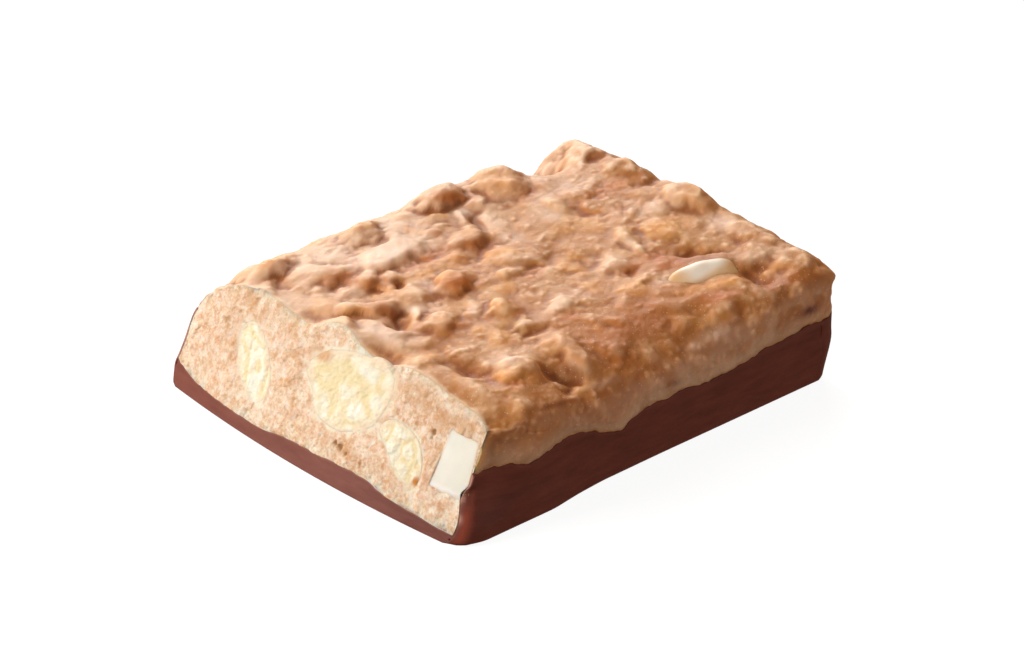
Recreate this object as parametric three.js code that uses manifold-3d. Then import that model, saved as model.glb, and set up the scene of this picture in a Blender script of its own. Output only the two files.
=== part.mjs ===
// A piece of crunchy chocolate bar, cut from a longer bar.
// A lumpy mass of crisped cereal set in caramel-coloured chocolate sits in a dipped base of brown
// chocolate. Three puffed cereal balls and a chip of nut show at the cut, another nut on top.
// Millimetres. X runs from the cut to the moulded end, Y across the bar, Z up from its flat foot.
import * as THREE from 'three';
import { mergeVertices } from 'three/addons/utils/BufferGeometryUtils.js';
import Module from 'manifold-3d';

// Driving dimensions
const HALF_WIDTH = 17.9;
const END_X = 22.7;
const CORNER_RADIUS = 2.2;
const FOOT_RADIUS = 0.7;
const CUT = { foot: -21.45, skew: 0.078, lean: 0.535, bow: 1.2, bowReach: 19, bowFade: 14 };
const FLOOR = 1.3;
const WALL = 0.7;
const GAP = 0.25;
const MASS_INSET = 0.15;
const TOP = { low: 9.6, rise: 1.3, from: -20, to: 21 };
const WELD = 0.3;
const STEPS_X = 46;

// The bar swells a little where it was pressed by the knife, next to the cut, and the knife nipped
// the near side in at the very edge, most at the top.
const SWELL = { front: { at: -14.5, reach: 4.5, height: 0.6 }, back: { at: -20, reach: 7, height: 0.8 } };
const NIP = { foot: 0.6, top: 2, height: 8.5, reach: 2.8 };

// The chocolate spreads to its own foot line on the near side: X, then half the width.
const FOOT_LINE = [
  [-21.5, 17], [-20.6, 17.4], [-20, 18.1], [-19, 18.4], [-18, 18.75], [-10.4, 18.7],
  [-8.8, 18.45], [-7.4, 18.25], [-4.6, 18], [2, 17.9], [23, 17.8],
];
const FLARE_HEIGHT = 4.5;
const END_TAPER = { depth: 0.8, height: 4 };

// The dipped chocolate stops at a wavy rim: X and height along the near side. It rises to the back.
const RIM = [
  [-20, 5], [-17, 5.2], [-15.3, 5.6], [-14.4, 5.7], [-12.8, 5.45], [-11.7, 5.3], [-10.9, 5.7],
  [-8.4, 5.85], [-7, 5.85], [-4.5, 4.95], [-2.5, 4.3], [-1.9, 5], [-0.7, 5.25], [0.7, 5.5],
  [3.9, 5.55], [7.2, 5.25], [11.2, 5.5], [12.9, 5.8], [14.9, 6.05], [17.8, 6.35], [22, 6.4],
];
const RIM_TILT = 0.036;

// Edges of the top roll off: how far in the roll starts and how deep it falls.
const ROLL_FRONT = { width: 2, drop: 1.8, extraWidth: 6, extraDrop: 1.7, at: 1, reach: 11.5 };
const ROLL_BACK = { width: 3.6, drop: 2.6 };
const ROLL_END = { width: 2.2, drop: 1.8 };

// Top of the mass along the cut: Y, then height.
const CUT_TOP = [
  [-17, 8.3], [-16, 8.8], [-15, 9.3], [-12.6, 9.6], [-9.6, 10], [-7, 10.2], [-5.5, 9.9],
  [-4.3, 9.25], [-3, 9.35], [-1.5, 9.75], [0.2, 10.3], [1.8, 10.65], [3.6, 10.2], [4.9, 9.55],
  [6.2, 9.5], [8.7, 9.75], [11.1, 9.9], [14.3, 9.1], [16.2, 8.2], [17.3, 7.6], [18.3, 6.6],
];
const CUT_TOP_REACH = 1.5;

// Crisps that swell the top: X, Y, half length, half width, turn in degrees, rise over the plain top,
// and bluntness, from 1 for a soft bell to 2 for a flat top with a steep side.
const LUMPS = [
  [-17.5, 14.8, 2.4, 1.6, 10, 0.3, 1.2], [-14.6, 14.2, 3, 1.8, 5, 1, 1.2],
  [-8.2, 13.2, 1.5, 1, 40, 0.35, 1.2], [-4.8, 14.6, 2.6, 1.7, 5, 1.1, 1.3],
  [0.2, 14.6, 1.4, 1.2, 0, 0.4, 1.2], [3.7, 14.6, 3.2, 2.6, 0, 1.3, 1.5],
  [9.8, 13, 2.4, 3.2, -8, 1.1, 1.6], [19.6, 12.6, 2, 2.2, 12, 0.35, 1.3],
  [14.2, 11, 1.6, 1.1, 20, 0.3, 1.2], [-12.4, 11.3, 2.9, 1.9, -15, 0.65, 1.6],
  [-9.4, 7.4, 1.3, 1, 40, 0.6, 1.5], [-7.6, 6.5, 1.1, 1, 30, 0.55, 1.5],
  [-4.9, 9.8, 3.9, 2.3, 14, 0.75, 2.2], [-0.1, 10.3, 1.1, 1, 0, 0.5, 1.3],
  [3.7, 10.7, 1.1, 1.8, -25, 0.5, 1.3], [2.2, 7.3, 2.1, 1.5, 25, 0.75, 1.4],
  [4.2, 5, 1.2, 1.5, -20, 0.4, 1.2], [8.8, 8.6, 1.6, 1.2, 20, 0.25, 1],
  [11.1, 6.3, 1.2, 2, -20, 0.5, 1.4], [16.2, 7.6, 1.9, 1, 40, 0.4, 1.3],
  [20.5, 8, 2.2, 1.8, 0, 0.75, 1.3], [-15.6, 6.6, 2.6, 1.3, -15, 0.45, 1.3],
  [-12.8, 3.5, 3.1, 1.2, -28, 0.9, 1.5], [-8.2, 2.8, 1.9, 1.6, 30, 0.45, 1.2],
  [-4.4, 2.1, 1.8, 1.8, 0, 1.15, 1.6], [-16.4, 2.3, 1.8, 1.7, 0, 0.95, 2],
  [-14.2, -0.9, 2, 2.7, -5, 0.65, 2.6], [2.6, 2.2, 1.7, 1.2, -15, 0.5, 1.4],
  [-0.1, 0.5, 1.3, 0.9, 35, 0.6, 1.4], [15, 1.2, 1.1, 0.9, 30, 0.5, 1.3],
  [17.8, 0.8, 1.6, 1.2, 0, 0.35, 1.1], [20.4, -0.6, 1.9, 2.8, 10, 1.25, 1.4],
  [-9.6, -2.3, 2.1, 1.7, 15, 0.85, 1.6], [-3.9, -3.6, 1.6, 1.4, 20, 0.8, 1.4],
  [8.3, -4, 1.6, 1.6, 0, 0.6, 1.4], [11.6, -2.6, 1, 2.1, 0, 0.65, 1.7], [15, -2.7, 2, 2.6, 0, 0.6, 2],
  [0.6, -6.4, 3.3, 1.1, 18, 0.65, 1.5], [-4.2, -7, 1, 0.9, 0, 0.55, 1.4],
  [-14.2, -11.8, 2, 4.2, 0, 0.6, 2.4], [-8.9, -12.2, 2.3, 1.8, 10, 0.9, 1.6],
  [-3.9, -13, 1.5, 3, -8, 0.85, 1.8], [8.2, -8.3, 1.6, 1, 10, 0.45, 1.3],
  [13.4, -10.4, 4.4, 1.7, -12, 0.5, 1.6], [18.6, -11.6, 2.2, 1.6, 20, 0.6, 1.4],
  [20.3, -9, 1.9, 3.4, 0, 0.75, 1.6], [20.2, -14.4, 1.8, 2.2, 0, 0.6, 1.5],
];

// Hollows between the crisps: X, Y, half length, half width, turn in degrees and depth.
const HOLLOWS = [
  [-15.7, 11, 1.9, 0.9, 50, 0.45], [-11.4, 0.2, 1.7, 0.9, 60, 0.8], [5, 9.4, 0.9, 1.8, -30, 0.4],
  [2.2, 5.1, 2, 0.9, 10, 0.4], [6.6, 8, 2.6, 4, -30, 0.3], [6.8, -0.5, 3.2, 4.6, -20, 0.45],
  [15.2, -7.5, 2.3, 0.9, -30, 0.8], [-16.4, -2.8, 1.3, 1.5, 0, 0.8], [-12, -9.6, 0.9, 2.4, 15, 0.6],
  [-6.3, -14.8, 1.2, 1.8, 0, 1], [16.4, -14.4, 1.5, 1.7, 0, 1.1], [15, 15.8, 2, 3, -10, 3],
  [22.6, 13.6, 1.3, 2, 0, 1.2], [17.6, 16, 2.5, 2, 0, 0.6], [22.3, 8.8, 1.2, 2, 0, 0.4],
  [22.3, 4.4, 1.2, 1.2, 0, 0.4], [22.3, -17.3, 2.2, 2.2, 0, 0.5], [20.3, 4.3, 1.6, 0.9, 10, 0.4],
];

// Pieces set in the mass: middle, half sizes (into the bar, across, up along the cut), roll in the
// cut's plane in degrees, and squareness (2 is a ball, higher is a block).
const INCLUSIONS = {
  cereal_puff_left: { at: [-19.1, 9.35, 5.1], half: [3.2, 1.9, 3.7], roll: -44, square: 2, lean: true },
  cereal_puff_middle: { at: [-17.4, -1.2, 6.4], half: [3.6, 4.6, 3.2], roll: 0, square: 2, lean: true },
  cereal_puff_right: { at: [-17.9, -9.4, 4.7], half: [3.0, 1.7, 3.4], roll: -57, square: 2.3, lean: true },
  nut_at_corner: { at: [-16.2, -14.8, 5.3], half: [2.9, 1.75, 2.5], roll: 0, square: 8, lean: true },
  nut_on_top: {
    at: [12.6, -10.9, 10.0], half: [3.3, 1.5, 1.2], roll: 20, square: 3, lean: false, turn: -16,
  },
};

const degrees = THREE.MathUtils.degToRad;
const mix = THREE.MathUtils.lerp;

function wave(x, { at, reach, height }) {
  return height * Math.exp(-(((x - at) / reach) ** 2));
}

// 0 below 0, 1 above 1, and a smooth step between.
function smooth(t) {
  return THREE.MathUtils.smoothstep(t, 0, 1);
}

// Height of a line through points at a place along it.
function along(points, x) {
  let next = points.findIndex(([at]) => at > x);
  next = next < 0 ? points.length - 1 : Math.max(next, 1);
  const [[x0, z0], [x1, z1]] = [points[next - 1], points[next]];
  return mix(z0, z1, THREE.MathUtils.clamp((x - x0) / (x1 - x0), 0, 1));
}

// The knife's face: skewed across the bar, leaning back as it rises, and bowed at its foot.
function cutX(y, z) {
  const bow = CUT.bow * Math.max(1 - (y / CUT.bowReach) ** 2, 0) * (1 - z / CUT.bowFade);
  return CUT.foot - CUT.skew * y + CUT.lean * z - bow;
}

// The moulded end with its two rounded corners, which get tighter as the outline is drawn in.
function endX(y, z, inset) {
  const radius = CORNER_RADIUS - inset;
  const past = THREE.MathUtils.clamp((Math.abs(y) - HALF_WIDTH + CORNER_RADIUS) / radius, 0, 1);
  const taper = END_TAPER.depth * smooth(1 - z / END_TAPER.height);
  return END_X - inset - taper - radius * (1 - Math.sqrt(1 - past * past));
}

// Half the width: swollen and nipped next to the cut, spread to the foot line on the near side.
function halfWidth(x, y, z, side) {
  if (side > 0) {
    return HALF_WIDTH + wave(x, SWELL.back);
  }
  const depth = mix(NIP.foot, NIP.top, smooth(z / NIP.height));
  const upper = HALF_WIDTH + wave(x, SWELL.front) - wave(x, { ...NIP, at: cutX(y, z), height: depth });
  return mix(upper, along(FOOT_LINE, x), smooth(1 - z / FLARE_HEIGHT));
}

function rimHeight(x, y) {
  return along(RIM, x) + RIM_TILT * (y + HALF_WIDTH);
}

// Quarter-ellipse fall over the last width millimetres before an edge.
function roll(distance, width, drop) {
  const t = THREE.MathUtils.clamp(1 - distance / width, 0, 1);
  return drop * (1 - Math.sqrt(1 - t * t));
}

// Squared distance from a middle, in units of the half sizes, in turned axes.
function ellipseDistance(x, y, atX, atY, long, wide, turn) {
  const angle = degrees(turn);
  const alongIt = (x - atX) * Math.cos(angle) + (y - atY) * Math.sin(angle);
  const acrossIt = (y - atY) * Math.cos(angle) - (x - atX) * Math.sin(angle);
  return (alongIt / long) ** 2 + (acrossIt / wide) ** 2;
}

// The larger of two heights, with a fillet of chocolate where they meet.
function weld(a, b) {
  const near = Math.max(WELD - Math.abs(a - b), 0) / WELD;
  return Math.max(a, b) + (near * near * WELD) / 4;
}

function plainTop(x) {
  return TOP.low + TOP.rise * ((x - TOP.from) / (TOP.to - TOP.from)) ** 2;
}

// Height of the lumpy top: blunt bells welded on, bells sunk in, then the rolls, and the cut's own line.
function topHeight(x, y) {
  let rise = 0;
  for (const [atX, atY, long, wide, turn, height, blunt] of LUMPS) {
    rise = weld(rise, height * Math.exp(-(ellipseDistance(x, y, atX, atY, long, wide, turn) ** blunt)));
  }
  for (const [atX, atY, long, wide, turn, depth] of HOLLOWS) {
    rise -= depth * Math.exp(-ellipseDistance(x, y, atX, atY, long, wide, turn));
  }
  const middle = Math.exp(-(((x - ROLL_FRONT.at) / ROLL_FRONT.reach) ** 4));
  const frontWidth = ROLL_FRONT.width + ROLL_FRONT.extraWidth * middle;
  const frontDrop = ROLL_FRONT.drop + ROLL_FRONT.extraDrop * middle;
  let z = plainTop(x) + rise;
  z -= roll(halfWidth(x, y, 8, -1) - MASS_INSET + y, frontWidth, frontDrop);
  z -= roll(halfWidth(x, y, 8, 1) - MASS_INSET - y, ROLL_BACK.width, ROLL_BACK.drop);
  z -= roll(END_X - MASS_INSET - x, ROLL_END.width, ROLL_END.drop);
  z = mix(z, along(CUT_TOP, y), wave(x, { at: cutX(y, 10), reach: CUT_TOP_REACH, height: 1 }));
  return Math.max(z, rimHeight(x, y) + 2.4 * GAP);
}

// Small swellings on the walls of the mass.
function wallLumps(x, y, z) {
  return 0.04 * (Math.sin(1.3 * x + 0.9 * y + z) + Math.sin(0.8 * x - 1.1 * y - 1.9 * z + 2));
}

// A block without its underside: a box grid of unit size whose shared corners are merged.
function blankBlock(stepsX, stepsY, stepsZ) {
  const box = new THREE.BoxGeometry(1, 1, 1, stepsX, stepsY, stepsZ);
  const underside = box.groups[5];
  box.setIndex(Array.from(box.index.array.slice(0, underside.start)));
  box.clearGroups();
  box.deleteAttribute('normal');
  box.deleteAttribute('uv');
  return mergeVertices(box);
}

// Moves a blank's corners onto the bar and closes its flat underside.
// levels, from the foot up, are { height(x, y), inset(x, y, z) }; start is where the block begins.
function shapeBlock(stepsX, stepsY, levels, start = cutX) {
  const block = blankBlock(stepsX, stepsY, levels.length - 1);
  const corners = block.getAttribute('position');
  const foot = [];
  for (let i = 0; i < corners.count; i += 1) {
    const ahead = corners.getX(i) + 0.5;
    const across = 2 * corners.getY(i);
    const level = levels[Math.round((corners.getZ(i) + 0.5) * (levels.length - 1))];
    if (corners.getZ(i) < -0.49) {
      foot.push({ index: i, angle: Math.atan2(corners.getY(i), corners.getX(i)) });
    }
    let x = mix(CUT.foot, END_X, ahead);
    let y = across * HALF_WIDTH;
    let z = level.height(x, y);
    for (let pass = 0; pass < 6; pass += 1) {
      const inset = level.inset(x, y, z);
      y = across * (halfWidth(x, y, z, across) - inset);
      x = mix(start(y, z), endX(y, z, inset), ahead);
      z = level.height(x, y);
    }
    corners.setXYZ(i, x, y, z);
  }
  foot.sort((a, b) => a.angle - b.angle);
  const ring = foot.map(({ index }) => new THREE.Vector2(corners.getX(index), corners.getY(index)));
  const cap = THREE.ShapeUtils.triangulateShape(ring, []);
  const triangles = Array.from(block.index.array);
  for (const [a, b, c] of cap) {
    triangles.push(foot[a].index, foot[c].index, foot[b].index);
  }
  block.setIndex(triangles);
  return block;
}

const wasm = await Module();
wasm.setup();

function toSolid(geometry) {
  const vertProperties = new Float32Array(geometry.getAttribute('position').array);
  const triVerts = new Uint32Array(geometry.index.array);
  return new wasm.Manifold(new wasm.Mesh({ numProp: 3, vertProperties, triVerts }));
}

function toGeometry(solid) {
  const mesh = solid.getMesh();
  const geometry = new THREE.BufferGeometry();
  geometry.setAttribute('position', new THREE.BufferAttribute(mesh.vertProperties, 3));
  geometry.setIndex(new THREE.BufferAttribute(mesh.triVerts, 1));
  geometry.computeVertexNormals();
  return geometry;
}

// A ball or rounded block: a sphere whose points are pushed out to a superellipsoid.
function inclusionSolid({ at, half, roll: rolled, square, lean, turn = 0 }, grown) {
  const ball = new THREE.SphereGeometry(1, 18, 10);
  ball.deleteAttribute('normal');
  ball.deleteAttribute('uv');
  const shape = mergeVertices(ball);
  const points = shape.getAttribute('position');
  for (let i = 0; i < points.count; i += 1) {
    const axes = [points.getX(i), points.getY(i), points.getZ(i)];
    const size = axes.reduce((sum, value) => sum + Math.abs(value) ** square, 0) ** (-1 / square);
    points.setXYZ(i, ...axes.map((value, axis) => value * size * (half[axis] + grown)));
  }
  shape.rotateX(degrees(rolled));
  shape.rotateY(lean ? Math.atan(CUT.lean) : 0);
  shape.rotateZ(degrees(turn));
  shape.translate(...at);
  return toSolid(shape);
}

// Chocolate base: a shallow tray with a wavy rim, round at the foot, open at the cut.
function chocolateBase() {
  const footInset = (z) => roll(z, FOOT_RADIUS, FOOT_RADIUS);
  const outside = [0, 0.08, 0.35, 1].map((share) => ({
    height: () => share * FOOT_RADIUS,
    inset: (x, y, z) => footInset(z),
  }));
  outside.push({ height: (x, y) => mix(FOOT_RADIUS, rimHeight(x, y), 0.35), inset: () => 0 });
  outside.push({ height: (x, y) => mix(FOOT_RADIUS, rimHeight(x, y), 0.7), inset: () => 0 });
  outside.push({ height: rimHeight, inset: () => 0 });
  const hollow = [FLOOR, 2.6, 3.8, 5, 6.5, 12].map((z) => ({ height: () => z, inset: () => WALL }));
  const pastCut = (y) => cutX(y, FLOOR) - 4;
  const block = toSolid(shapeBlock(STEPS_X, 26, outside));
  return block.subtract(toSolid(shapeBlock(STEPS_X, 26, hollow, pastCut)));
}

// Crisp mass: fits the tray below the rim, stands over it above the rim, and has the lumpy top.
function crispMass() {
  const inTray = () => WALL + GAP;
  const overRim = (x, y, z) => MASS_INSET + wallLumps(x, y, z);
  const above = (x, y) => rimHeight(x, y) + 1.4 * GAP;
  const levels = [
    { height: () => FLOOR + GAP, inset: inTray },
    { height: () => 3, inset: inTray },
    { height: () => 4, inset: inTray },
    { height: (x, y) => rimHeight(x, y) + 0.8 * GAP, inset: inTray },
    { height: above, inset: overRim },
    { height: (x, y) => mix(above(x, y), topHeight(x, y), 0.45), inset: overRim },
    { height: topHeight, inset: overRim },
  ];
  return toSolid(shapeBlock(STEPS_X, 38, levels));
}

function named(name, solid, colour, roughness) {
  const material = new THREE.MeshStandardMaterial({ color: colour, roughness, metalness: 0 });
  const mesh = new THREE.Mesh(toGeometry(solid), material);
  mesh.name = name;
  return mesh;
}

const bar = new THREE.Group();
bar.add(named('chocolate_base', chocolateBase(), '#54291e', 0.35));

const wholeMass = crispMass();
let mass = wholeMass;
for (const [name, inclusion] of Object.entries(INCLUSIONS)) {
  mass = mass.subtract(inclusionSolid(inclusion, GAP));
  const piece = inclusionSolid(inclusion, 0);
  const colour = name.startsWith('nut') ? '#efe6d2' : '#fbf0cf';
  bar.add(named(name, inclusion.lean ? piece.intersect(wholeMass) : piece, colour, 0.6));
}
bar.add(named('crisp_mass', mass, '#d9a377', 0.5));

export default bar;
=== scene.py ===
# %% [markdown]
# A piece of crunchy chocolate bar, dressed for the camera.
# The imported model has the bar's true size in seven plain solids: a tray of brown chocolate, the
# mass of crisps in it, three puffed cereal balls and two chips of nut. Each solid is replaced here by
# a fine surface of the same form, worked out with numpy from the same sizes.

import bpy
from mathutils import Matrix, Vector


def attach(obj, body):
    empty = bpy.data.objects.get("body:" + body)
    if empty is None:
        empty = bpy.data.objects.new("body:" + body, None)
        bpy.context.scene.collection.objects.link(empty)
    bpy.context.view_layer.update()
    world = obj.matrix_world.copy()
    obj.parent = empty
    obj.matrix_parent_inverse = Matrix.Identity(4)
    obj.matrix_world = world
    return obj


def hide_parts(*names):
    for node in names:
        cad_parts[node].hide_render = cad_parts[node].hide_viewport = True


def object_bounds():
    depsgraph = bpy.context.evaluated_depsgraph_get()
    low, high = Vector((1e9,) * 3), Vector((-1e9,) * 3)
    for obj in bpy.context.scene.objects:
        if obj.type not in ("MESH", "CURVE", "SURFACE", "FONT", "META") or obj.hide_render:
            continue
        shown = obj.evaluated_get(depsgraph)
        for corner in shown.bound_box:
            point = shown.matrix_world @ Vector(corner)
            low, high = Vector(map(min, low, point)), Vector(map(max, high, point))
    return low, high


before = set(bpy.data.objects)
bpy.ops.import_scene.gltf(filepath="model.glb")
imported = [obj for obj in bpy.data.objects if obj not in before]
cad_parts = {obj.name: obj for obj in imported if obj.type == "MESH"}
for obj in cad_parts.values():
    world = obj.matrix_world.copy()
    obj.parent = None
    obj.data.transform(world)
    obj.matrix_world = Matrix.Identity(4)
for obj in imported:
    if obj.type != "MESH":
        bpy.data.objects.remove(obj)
cad_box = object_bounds()
print("nodes:", sorted(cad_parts))

# %% Libraries
import itertools
import math

import bpy
import numpy as np
from mathutils import Matrix, Vector

MM = 0.001
print("millimetres in the formulas, metres in the meshes:", MM)

# %% [markdown]
# The sizes of the bar. They repeat the solids' own sizes, in millimetres, so each new surface lies
# where its solid does: X from the cut to the moulded end, Y across the bar, Z up from the flat foot.

# %% Sizes of the bar
HALF_WIDTH = 17.9
END_X = 22.7
CORNER_RADIUS = 2.2
FOOT_RADIUS = 0.5
CUT = dict(foot=-21.45, skew=0.078, lean=0.535, bow=1.2, bow_reach=19, bow_fade=14)
TOP = dict(low=9.6, rise=1.3, start=-20, end=21)
SWELL_FRONT = dict(at=-14.5, reach=4.5, height=0.6)
SWELL_BACK = dict(at=-20, reach=7, height=0.8)
FOOT_LINE = [
    (-21.5, 17), (-20.6, 17.4), (-20, 18.1), (-19, 18.4), (-18, 18.75), (-10.4, 18.7), (-8.8, 18.45),
    (-7.4, 18.25), (-4.6, 18), (2, 17.9), (23, 17.8),
]
END_TAPER = 0.8
RIM = [
    (-20, 5), (-17, 5.2), (-15.3, 5.6), (-14.4, 5.7), (-12.8, 5.45), (-11.7, 5.3), (-10.9, 5.7),
    (-8.4, 5.85), (-7, 5.85), (-4.5, 4.95), (-2.5, 4.3), (-1.9, 5), (-0.7, 5.25), (0.7, 5.5), (3.9, 5.55),
    (7.2, 5.25), (11.2, 5.5), (12.9, 5.8), (14.9, 6.05), (17.8, 6.35), (22, 6.4),
]
RIM_TILT = 0.036
CUT_LEFT = [
    (0, 17.9), (0.6, 18.1), (1.6, 18.65), (2.4, 18.5), (3.8, 18.5), (4.8, 18.65), (5.7, 18.65),
    (6.9, 18.1), (7.6, 17.7), (8.5, 17.3),
]
ROLL_FRONT = dict(width=2, drop=1.8, extra_width=6, extra_drop=1.7, at=1, reach=11.5)
ROLL_BACK = dict(width=3.6, drop=2.6)
ROLL_END = dict(width=2.2, drop=1.8)
WALL = 0.35
WALL_AT_CUT = 0.14
OVERLAP = 0.06
SKIN = 0.02
MASS_BOTTOM = 1.6
PASSES = 6
print("bar:", END_X - CUT["foot"], "by", 2 * HALF_WIDTH, "mm at the foot")

# %% [markdown]
# Lumps and hollows of the top, read off the photo one by one. A crisp under the coat shows as a
# swelling with a soft foot: place, half length and half width, rise over the plain top, bluntness (1
# is a soft bell, 2 a flat top with a steep side) and, where it has one, its turn in degrees. A hollow
# is a bell downwards: place, half sizes, depth and turn.

# %% Lumps and hollows
LUMPS = [
    (-17.5, 14.8, 2.4, 1.6, 0.3, 1.2, 10), (-14.6, 14.2, 3, 1.8, 1, 1.2, 5),
    (-8.2, 13.2, 1.5, 0.9, 0.35, 1.2, 40), (-4.8, 14.6, 2.6, 1.7, 1.1, 1.3, 5),
    (-0.2, 14.6, 1.4, 1.2, 0.15, 1.2), (4, 14.6, 3, 2.6, 1.25, 2), (10.2, 13, 2.5, 3.2, 1.1, 1.6, -8),
    (6.4, 12.2, 0.8, 1.8, 0.5, 1.2, -25), (20, 12.4, 2, 2.2, 0.35, 1.3, 12),
    (14.2, 11, 1.6, 1.1, 0.3, 1.2, 20), (-12.4, 11.3, 2.9, 1.9, 0.65, 1.6, -15),
    (-13.8, 8.9, 1, 0.8, 0.45, 1.3), (-9.4, 7.4, 1.3, 1, 0.6, 1.5, 40),
    (-7.6, 6.5, 1.1, 0.9, 0.55, 1.5, 30), (-4.9, 9.8, 3.9, 2.3, 0.75, 2.2, 14),
    (-0.1, 10.3, 1.1, 1, 0.5, 1.3), (1.3, 10.8, 0.8, 0.8, 0.45, 1.3),
    (3.7, 10.7, 1.1, 1.8, 0.5, 1.3, -25), (2.2, 7.3, 2.1, 1.5, 0.75, 1.4, 25),
    (-2.2, 5.7, 0.8, 0.7, 0.3, 1.2), (4.2, 5, 1.2, 1.5, 0.4, 1.2, -20), (6.6, 3.4, 0.7, 0.7, 0.4, 1.3),
    (8.8, 8.6, 1.6, 1.2, 0.25, 1, 20), (11.1, 6.3, 1.2, 2, 0.5, 1.4, -20), (9, 5, 1.2, 1, 0.25, 1),
    (16.2, 7.6, 1.9, 0.7, 0.4, 1.3, 40), (20.5, 8, 2.2, 1.8, 0.75, 1.3),
    (-15.6, 6.6, 2.6, 1.3, 0.45, 1.3, -15), (-12.8, 3.5, 3.1, 1.2, 0.9, 1.5, -28),
    (-8.2, 2.8, 1.9, 1.6, 0.45, 1.2, 30), (-4.4, 2.1, 1.8, 1.8, 1.15, 1.6),
    (-6.3, 2.2, 0.5, 1.6, 0.3, 1.2, -10), (-16.4, 2.3, 1.8, 1.7, 0.95, 2),
    (-14.2, -0.9, 2, 2.7, 0.65, 2.6, -5), (-10, -0.2, 1, 0.7, 0.5, 1.3, 40),
    (2.6, 2.2, 1.7, 1.2, 0.5, 1.4, -15), (-0.1, 0.5, 1.3, 0.9, 0.6, 1.4, 35),
    (15, 1.2, 1.1, 0.7, 0.5, 1.3, 30), (17.8, 0.8, 1.6, 1.2, 0.35, 1.1),
    (12.8, 2.2, 1.8, 0.5, 0.3, 1.2, -25), (20.4, -0.6, 1.9, 2.8, 1.25, 1.4, 10),
    (-9.6, -2.3, 2.1, 1.7, 0.85, 1.6, 15), (-5.7, -2.4, 0.8, 2.4, 0.35, 1.2, -25),
    (-3.9, -3.6, 1.6, 1.4, 0.8, 1.4, 20), (8.3, -4, 1.6, 1.6, 0.6, 1.4), (11.6, -2.6, 1, 2.1, 0.65, 1.7),
    (15, -2.7, 2, 2.6, 0.6, 2), (0.6, -6.4, 3.3, 1.1, 0.65, 1.5, 18), (-4.2, -7, 1, 0.8, 0.55, 1.4),
    (-11.3, -6.8, 1.6, 0.9, 0.35, 1.2, 10), (-14.3, -6.3, 1.2, 0.8, 0.3, 1.2),
    (-14.2, -11.8, 2, 4.2, 0.6, 2.4), (-8.9, -12.2, 2.3, 1.8, 0.9, 1.6, 10),
    (-3.9, -13, 1.5, 3, 0.85, 1.8, -8), (8.2, -8.3, 1.6, 0.9, 0.45, 1.3, 10),
    (13.4, -10.4, 4.4, 1.7, 0.5, 1.6, -12), (18.6, -11.6, 2.2, 1.6, 0.6, 1.4, 20),
    (20.3, -9, 1.9, 3.4, 0.75, 1.6), (20.2, -14.4, 1.8, 2.2, 0.6, 1.5),
    (10.6, -15.7, 2.7, 1.6, 0.5, 1.3, 6), (6.2, -15.2, 1.3, 1, 0.45, 1.3),
    (-0.5, -15, 1.1, 0.9, 0.45, 1.3),
]
HOLLOWS = [
    (-15.7, 11, 1.9, 0.8, 0.45, 50), (-11.4, 8.4, 1.8, 0.7, 0.3, 20), (-9.6, 5.8, 0.9, 0.6, 0.4, 30),
    (-7.9, 5, 0.9, 0.6, 0.4, 20), (-3.2, 6.9, 2.2, 0.5, 0.2, 15), (-11.4, 0.2, 1.7, 0.7, 0.8, 60),
    (-3.9, 0.6, 1.2, 0.5, 0.35, 10), (4.2, 12.6, 1.4, 0.7, 0.3), (5, 9.4, 0.7, 1.8, 0.4, -30),
    (2.2, 5.1, 2, 0.8, 0.4, 10), (12, 4.4, 0.7, 1.2, 0.3), (6.6, 8, 2.6, 4, 0.3, -30),
    (6.8, -0.5, 3.2, 4.6, 0.45, -20), (2.3, -0.2, 1.4, 0.6, 0.3), (8.4, -6.1, 1.2, 0.6, 0.4),
    (15.2, -7.5, 2.3, 0.9, 0.8, -30), (-16.4, -2.8, 1.3, 1.5, 0.8), (-12, -9.6, 0.8, 2.4, 0.6, 15),
    (-6.3, -14.8, 1.2, 1.8, 1), (-4, -8.5, 1, 0.6, 0.3), (16.4, -14.4, 1.5, 1.7, 1.1),
    (15.8, 15.8, 2, 3, 3, -10), (22.6, 13.6, 1.3, 2, 1.6), (17.8, 16, 2.8, 2.2, 1.8),
    (22.3, 8.8, 1.2, 2, 0.8), (22.3, 4.4, 1.2, 1.2, 0.4), (22.3, -17.3, 2.2, 2.2, 0.5),
    (19.8, 11, 1.2, 0.7, 0.4, 30), (20.3, 4.3, 1.6, 0.9, 0.4, 10),
]
print(len(LUMPS), "lumps and", len(HOLLOWS), "hollows")

# %% [markdown]
# The form of the bar as functions of place. Every surface below is cut out of these few: where the
# knife went, how wide the bar is, how high the chocolate climbs and how high the mass stands. First
# the two ends: the knife's slanted face, and the end that the mould gave its round corners.


# %% Ends of the bar
def bell(x, at, reach, height=1):
    """A bell curve: height times e to the minus square of the distance over the reach."""
    return height * np.exp(-(((x - at) / reach) ** 2))


def smooth(t):
    """0 below 0, 1 above 1, and 3t^2 - 2t^3 between."""
    t = np.clip(t, 0, 1)
    return t * t * (3 - 2 * t)


def cut_x(y, z):
    """The knife's face: skewed across the bar, leaning back as it rises, bowed out at its foot."""
    bow = CUT["bow"] * np.maximum(1 - (y / CUT["bow_reach"]) ** 2, 0) * (1 - z / CUT["bow_fade"])
    return CUT["foot"] - CUT["skew"] * y + CUT["lean"] * z - bow


def end_x(y, z, inset):
    """The moulded end: drawn in at the foot, with a quarter circle at each side."""
    radius = np.maximum(CORNER_RADIUS - inset, 0.2)
    past = np.clip((np.abs(y) - HALF_WIDTH + CORNER_RADIUS) / radius, 0, 1)
    return END_X - END_TAPER * smooth((4 - z) / 4) - inset - radius * (1 - np.sqrt(1 - past * past))


print("cut at mid width: from x", cut_x(0, 0), "at the foot to", round(float(cut_x(0, 9)), 2), "high up")

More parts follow.
